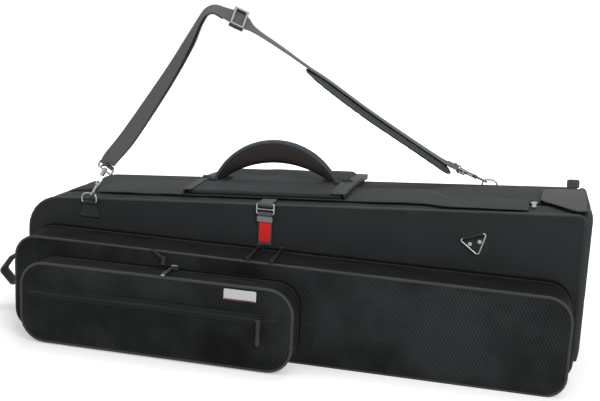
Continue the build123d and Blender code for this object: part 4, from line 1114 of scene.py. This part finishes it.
WEB_PATH = [beyond_bar(FRONT_EYE, 3.2, 42), beyond_bar(FRONT_EYE, 12, 46), (64, 329, 48), (122.3, 422, 34),
            (153.4, 478, 22), (174.9, 520, 10), (186, 534, 16), (198.5, 538, 25), (214.6, 532.5, 34),
            (231.8, 526, 42), (247.3, 519, 42), (266, 506, 16), (309, 480, 10), (361.6, 446.5, 8),
            (396, 426, 8), (480, 370.5, 8), (597, 299, 10), beyond_bar(REAR_EYE, 12, 14),
            beyond_bar(REAR_EYE, 3.2, 14)]
PAD_PATH = [(357, 443.8, 8, 22, 4), (364, 439.3, 8, 44, 8), (384, 425.8, 8, 62, 12),
            (430, 394.3, 8, 64, 13), (476, 364.3, 8, 64, 13), (535, 328.8, 9, 64, 13),
            (585, 298.3, 10, 64, 13), (606, 285.3, 11, 60, 12), (613, 280.5, 12, 40, 8),
            (617, 278, 12, 24, 5)]


def frame_on(path, i):
    """Place, tangent, width direction and thickness direction at one strap point."""
    a, b = path[max(i - 1, 0)], path[min(i + 1, len(path) - 1)]
    tangent = (STRAP_E * (b[0] - a[0]) + Vector((0, 0, b[1] - a[1]))).normalized()
    up = STRAP_N.cross(tangent).normalized()
    if up.z < 0:
        up = -up
    turn = math.radians(path[i][2])
    return (at(path[i][0], path[i][1]), tangent, STRAP_N * math.cos(turn) - up * math.sin(turn),
            up * math.cos(turn) + STRAP_N * math.sin(turn))


def ribbon(name, path, width, thick, offset):
    """Flat webbing with thicker woven edges, along the strap's path."""
    h, u = width / 2, thick / 2
    half = [(-h, -u * 0.5), (-h + 0.8, -u), (-h + 3, -u * 0.85), (0, -u * 0.9), (h - 3, -u * 0.85), (h - 0.8, -u),
            (h, -u * 0.5)]
    section = half + [(x, -y) for x, y in reversed(half)]
    m = len(section)
    verts, faces, run = [], [], [0.0]
    for i in range(len(path)):
        middle, tangent, q, t = frame_on(path, i)
        middle = middle + t * offset(i)
        verts += [middle + q * x + t * y for x, y in section]
        if i:
            run.append(run[-1] + math.dist(path[i][:2], path[i - 1][:2]))
    for i in range(len(path) - 1):
        faces += [(i * m + k, i * m + (k + 1) % m, (i + 1) * m + (k + 1) % m, (i + 1) * m + k) for k in range(m)]
    faces += [tuple(range(m)), tuple(range((len(path) - 1) * m, len(path) * m))]
    mesh = make_mesh(name, verts, faces, weld=False)
    layer = mesh.uv_layers.new(name="cloth")
    for loop in mesh.loops:
        i, k = divmod(loop.vertex_index, m)
        layer.data[loop.index].uv = (run[i] * MM, section[k][0] * MM)
    return mesh


def eye_place(eye):
    """Matrix with Y from swivel to bow, and Z along the strap plane's normal."""
    s, z, ds, dz = eye
    y = (STRAP_E * ds + Vector((0, 0, dz))).normalized()
    zed = STRAP_N
    x = y.cross(zed)
    m = Matrix((x, y, zed)).transposed().to_4x4()
    m.translation = at(s, z)
    return m


def strap_blend(piece):
    """Follows the rear anchor's body at one end and the cover at the other."""
    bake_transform(piece)


def strap_pieces():
    """Shoulder strap: webbing in two layers, adjuster, padded shoulder piece."""
    f = finishes()
    fine = smooth_line(WEB_PATH, 8)
    meshes = [ribbon("outer", fine, 32.0, 1.6, lambda i: 1.0)]
    spread = {2: 1.6, 3: 3.0, 4: 4.2, 5: 2.4}
    last = 8 * 8

    def apart(i):
        k, t = divmod(i / 8.0, 1)
        k = int(k)
        t = t * t * (3 - 2 * t)
        return spread.get(k, 0) * (1 - t) + spread.get(k + 1, 0) * t
    meshes.append(ribbon("inner", fine[:last + 1], 32.0, 1.6, lambda i: -1.0 - apart(i)))
    for eye, turn in ((FRONT_EYE, 42.0), (REAR_EYE, 14.0)):
        twist = 90 - turn if eye[3] < -0.6 else turn - 90
        place = eye_place(eye) @ Matrix.Translation((0, -EYE_BAR, 0)) @ Matrix.Rotation(math.radians(twist), 4, "Y")
        m = 20
        verts, faces = [], []
        for x, r in ((-16, 2.1), (-16, 3.5), (-5.3, 3.6), (5.3, 3.6), (16, 3.5), (16, 2.1), (5, 2.1), (-5, 2.1)):
            for j in range(m):
                angle = 2 * math.pi * j / m
                verts.append(place @ Vector((x, r * math.cos(angle), r * math.sin(angle))))
        for q in range(8):
            a, b = q * m, ((q + 1) % 8) * m
            faces += [(a + j, a + (j + 1) % m, b + (j + 1) % m, b + j) for j in range(m)]
        mesh = make_mesh("fold", verts, faces, weld=False)
        box_uv(mesh)
        meshes.append(mesh)
    bm = bmesh.new()
    for mesh in meshes:
        bm.from_mesh(mesh)
    joined = bpy.data.meshes.new("strap")
    bm.to_mesh(joined)
    bm.free()
    for face in joined.polygons:
        face.use_smooth = True
    web = settle(link("shoulder_webbing", joined), None, f["webbing"], "webbing", ("strap_webbing",))
    strap_blend(web)
    buckle = softened("strap_adjuster", "adjuster", 0.7, 1)
    piece = add("strap_adjuster_plate", buckle, None, f["buckle"], "buckle", ("strap_adjuster",))
    strap_blend(piece)
    pad = smooth_line(PAD_PATH, 9)
    verts, faces, edge = [], [], [[], []]
    m = 26
    for i, (s, z, turn, width, thick) in enumerate(pad):
        middle, tangent, q, t = frame_on(pad, i)
        h, u = width / 2, thick / 2
        for j in range(m):
            angle = 2 * math.pi * j / m
            c = math.copysign(abs(math.cos(angle)) ** 0.7, math.cos(angle))
            v = math.copysign(abs(math.sin(angle)) ** 0.8, math.sin(angle))
            ridge = 1 - 0.12 * ramp(abs(math.sin(s / 17.0 * math.pi)), 0.86, 1.0) * (1 if abs(c) < 0.8 else 0)
            verts.append(middle + q * h * 0.97 * c + t * (u * v * 0.92 * ridge * (0.8 + 0.2 * math.cos(angle * 2 + math.pi))))
        for n, way in enumerate((-1, 1)):
            edge[n].append((middle + q * (h - 1.2) * way, q * way))
    rows = len(pad)
    for r in range(rows - 1):
        faces += [(r * m + j, r * m + (j + 1) % m, (r + 1) * m + (j + 1) % m, (r + 1) * m + j) for j in range(m)]
    faces += [tuple(range(m)), tuple(range((rows - 1) * m, rows * m))]
    piece = add("shoulder_pad_cloth", make_mesh("pad", verts, faces), None, f["pad"], "pocket_fabric", ("shoulder_pad",))
    strap_blend(piece)
    ring = edge[0] + edge[1][::-1]
    mesh = band("pad_binding", [p for p, o in ring], [o for p, o in ring], circle(1.9, 8), True)
    piece = settle(link("pad_edge_binding", mesh), None, f["binding"], "flap_fabric")
    strap_blend(piece)


# Metal
def wire_ring(name, corners, radii, place, radius, body, slot, node, extra=()):
    """Bent wire ring from its outline in X and Z, set in place."""
    loop = rounded_loop(corners, radii, [6] * len(corners), 6)
    if sum((b.x - a.x) * (b.y + a.y) for a, b in zip(loop, loop[1:] + loop[:1])) > 0:
        loop.reverse()
    points = [place @ Vector((p.x, 0, p.y)) for p in loop]
    outs = [place.to_3x3() @ Vector((n.x, 0, n.y)) for n in normals_of(loop)]
    mesh = band(name, points, outs, circle(radius, 14), True)
    bm = bmesh.new()
    bm.from_mesh(mesh)
    for a, b in extra:
        p0, p1 = place @ Vector((a[0], 0, a[1])), place @ Vector((b[0], 0, b[1]))
        steps = [p0.lerp(p1, k / 6) for k in range(7)]
        bar = band("bar", steps, [place.to_3x3() @ Vector((0, 1, 0))] * 7, circle(radius, 14), False)
        bm.from_mesh(bar)
    bm.to_mesh(mesh)
    bm.free()
    for face in mesh.polygons:
        face.use_smooth = True
    settle(link(name, mesh), body, finishes()["steel"], slot, (node,))


def metal_pieces():
    """Rings as bent wire; hooks, sliders, pulls, rivets and slides keep their solids."""
    f = finishes()
    for name, x, side, body in (("left", -350.0, -1, "front_cover"), ("rear", 300.0, 1, "case_body")):
        place = Matrix.Translation((x, side * (BACK + 4.4), top_z(x) - 6.4))
        wire_ring(name + "_ring_wire", [(-13, 0), (13, 0), (13, 15.5), (-13, 15.5)], (2.5, 2.5, 9, 9), place, 1.55, body, "steel",
                  name + "_anchor_ring")
    place = Matrix.Translation((290.5, FACE - 4.4, 216.5)) @ Matrix.Rotation(math.radians(-19.0), 4, "Y")
    wire_ring("right_ring_wire", [(-21.5, 0), (21.5, 0), (0, -32)], (3, 3, 4), place, 1.55, "right_ring", "steel", "right_anchor_ring")
    bar_y, bar_z = FACE - 6.2, top_z(-41.0) + 1.0
    side = 12 + 1.6 + 0.7
    place = Matrix.Translation((-41.0, bar_y, bar_z))
    wire_ring("clip_ring_wire", [(-side, 0), (side, 0), (side, -16), (-side, -16)], (2.2, 2.2, 2.2, 2.2), place, 1.55,
              "pull_strap", "steel", "clip_ring", [((-side, -8.5), (side, -8.5))])
    looks = {"steel": ("anchor_rivets", "front_hook", "front_hook_gate", "front_swivel_eye", "rear_hook", "rear_hook_gate",
                       "rear_swivel_eye", "main_slider", "main_pull", "small_pocket_1_slider", "small_pocket_1_pull"),
             "enamel": ("big_pocket_1_slider", "big_pocket_1_pull", "big_pocket_2_slider", "big_pocket_2_pull",
                        "small_pocket_2_slider", "small_pocket_2_pull", "front_zip_slider", "front_zip_pull"),
             "buckle": ("clip_slide",)}
    for finish, names in looks.items():
        for name in names:
            mesh = NODES[name].data
            mesh.materials.clear()
            mesh.materials.append(f[finish])


# Stage
def stage_pieces():
    """Pale floor, plain soft light and the camera at the photograph's angle."""
    scene = bpy.context.scene
    look = scene.case_look
    floor = bpy.data.meshes.new("floor")
    s = 9.0
    floor.from_pydata([(-s, -s, 0), (s, -s, 0), (s, s, 0), (-s, s, 0)], [], [(0, 1, 2, 3)])
    ground = link("floor", floor)
    paint = bpy.data.materials.new("pale floor")
    paint.use_nodes = True
    tree = paint.node_tree
    surface = tree.nodes["Principled BSDF"]
    surface.inputs["Base Color"].default_value = (0.86, 0.86, 0.86, 1)
    surface.inputs["Roughness"].default_value = 0.9
    surface.inputs["Specular IOR Level"].default_value = 0.0
    path = tree.nodes.new("ShaderNodeLightPath")
    seen = math_node(tree, "MAXIMUM", path.outputs["Is Camera Ray"],
                     math_node(tree, "MAXIMUM", path.outputs["Is Glossy Ray"], path.outputs["Is Transmission Ray"]))
    place = tree.nodes.new("ShaderNodeTexCoord")
    away = tree.nodes.new("ShaderNodeVectorMath")
    away.operation = "LENGTH"
    tree.links.new(place.outputs["Object"], away.inputs[0])
    fade = tree.nodes.new("ShaderNodeMapRange")
    fade.interpolation_type = "SMOOTHSTEP"
    for key, value in (("From Min", 0.5), ("From Max", 2.2), ("To Min", 0.34), ("To Max", 1.0)):
        fade.inputs[key].default_value = value
    tree.links.new(away.outputs["Value"], fade.inputs["Value"])
    surface.inputs["Emission Color"].default_value = (1, 1, 1, 1)
    tree.links.new(math_node(tree, "MULTIPLY", seen, fade.outputs[0]), surface.inputs["Emission Strength"])
    floor.materials.append(paint)
    world = bpy.data.worlds.new("studio")
    scene.world = world
    world.use_nodes = True
    tree = world.node_tree
    back = tree.nodes["Background"]
    path = tree.nodes.new("ShaderNodeLightPath")
    seen = math_node(tree, "MAXIMUM", path.outputs["Is Camera Ray"],
                     math_node(tree, "MAXIMUM", path.outputs["Is Glossy Ray"], path.outputs["Is Transmission Ray"]))
    level = math_node(tree, "MULTIPLY_ADD", seen, 1 - look.sky_level)
    level.node.inputs[2].default_value = look.sky_level
    back.inputs["Color"].default_value = (1, 1, 1, 1)
    tree.links.new(level, back.inputs["Strength"])
    for name, place, size, power in (("key", (1.7, -2.1, 2.0), 1.4, look.key_power),
                                     ("top", (0.2, 0.7, 2.6), 1.8, look.key_power * 0.75),
                                     ("side", (-2.4, -1.6, 1.5), 1.6, look.key_power * 0.3)):
        lamp = bpy.data.lights.new(name, "AREA")
        lamp.energy, lamp.size = power, size
        holder = bpy.data.objects.new(name, lamp)
        scene.collection.objects.link(holder)
        holder.location = place
        aim = Vector((0, 0, 0.15)) - Vector(place)
        holder.rotation_euler = aim.to_track_quat("-Z", "Y").to_euler()
    yaw, pitch, roll = (math.radians(v) for v in (13.3, -11.6, 2.7))
    ahead = Vector((-math.sin(yaw) * math.cos(pitch), math.cos(yaw) * math.cos(pitch), math.sin(pitch)))
    right = ahead.cross(Vector((0, 0, 1))).normalized()
    up = right.cross(ahead)
    r = right * math.cos(roll) + up * math.sin(roll)
    u = up * math.cos(roll) - right * math.sin(roll)
    turn = Matrix((r, u, -ahead)).transposed()
    lens = bpy.data.cameras.new("camera")
    lens.sensor_width = 36.0
    lens.sensor_fit = "HORIZONTAL"
    lens.lens = 954.8 * 36.0 / 600.0
    lens.clip_start = 0.01
    camera = bpy.data.objects.new("camera", lens)
    scene.collection.objects.link(camera)
    camera.matrix_world = Matrix.Translation(Vector((358.3, -1576.3, 553.0)) * MM) @ turn.to_4x4()
    scene.camera = camera
    scene.view_settings.view_transform = "Standard"


# Settings, operators and panel
class CaseLook(bpy.types.PropertyGroup):
    """Colours and light that a user would change."""
    cloth_color: bpy.props.FloatVectorProperty(name="Cloth", description="Main cloth colour", subtype="COLOR", size=3,
                                               min=0.0, max=1.0, default=(0.0165, 0.0185, 0.0195))
    key_power: bpy.props.FloatProperty(name="Key light", description="Power of the main lamp", unit="POWER", default=48.0)
    sky_level: bpy.props.FloatProperty(name="Sky", description="Strength of the even light", default=0.42)


def step(idname, label, text, work):
    """Operator that makes one group of pieces."""
    def execute(self, context):
        work()
        return {"FINISHED"}
    return type("CASE_OT_" + idname, (bpy.types.Operator,),
                {"__doc__": text, "bl_idname": "case." + idname, "bl_label": label, "execute": execute})


STEPS = [
    step("body", "Case Body", "Padded tub and cover, linings, bumpers and fabric hinge", body_pieces),
    step("pockets", "Pockets", "Both zipped pockets and the bare label", pocket_pieces),
    step("piping", "Piping", "Corded edging", piping_pieces),
    step("zips", "Zips", "Tapes and teeth", zip_pieces),
    step("seams", "Seams", "Stitches of the pockets and the case", seam_pieces),
    step("top", "Top", "Storm flap, saddle, patches, loops and anchors", top_pieces),
    step("handle", "Handle", "Padded grip with bound edge", handle_pieces),
    step("strap", "Shoulder Strap", "Webbing, adjuster and pad", strap_pieces),
    step("metal", "Metal", "Rings, hooks, sliders and pulls", metal_pieces),
    step("stage", "Stage", "Floor, light and camera", stage_pieces),
]


class CASE_PT_panel(bpy.types.Panel):
    """Lists the groups of pieces and the settings."""
    bl_label = "Trombone Case"
    bl_idname = "CASE_PT_panel"
    bl_space_type = "VIEW_3D"
    bl_region_type = "UI"
    bl_category = "Trombone Case"

    def draw(self, context):
        look = context.scene.case_look
        for name in ("cloth_color", "key_power", "sky_level"):
            self.layout.prop(look, name)
        for item in STEPS:
            self.layout.operator(item.bl_idname)


CLASSES = [CaseLook, *STEPS, CASE_PT_panel]


def register():
    for item in CLASSES:
        bpy.utils.register_class(item)
    bpy.types.Scene.case_look = bpy.props.PointerProperty(type=CaseLook)


def unregister():
    del bpy.types.Scene.case_look
    for item in reversed(CLASSES):
        bpy.utils.unregister_class(item)


def main():
    """Makes every piece, then writes the two boxes."""
    register()
    for item in STEPS:
        getattr(bpy.ops.case, item.bl_idname.split(".")[1])()


if __name__ == "__main__":
    main()
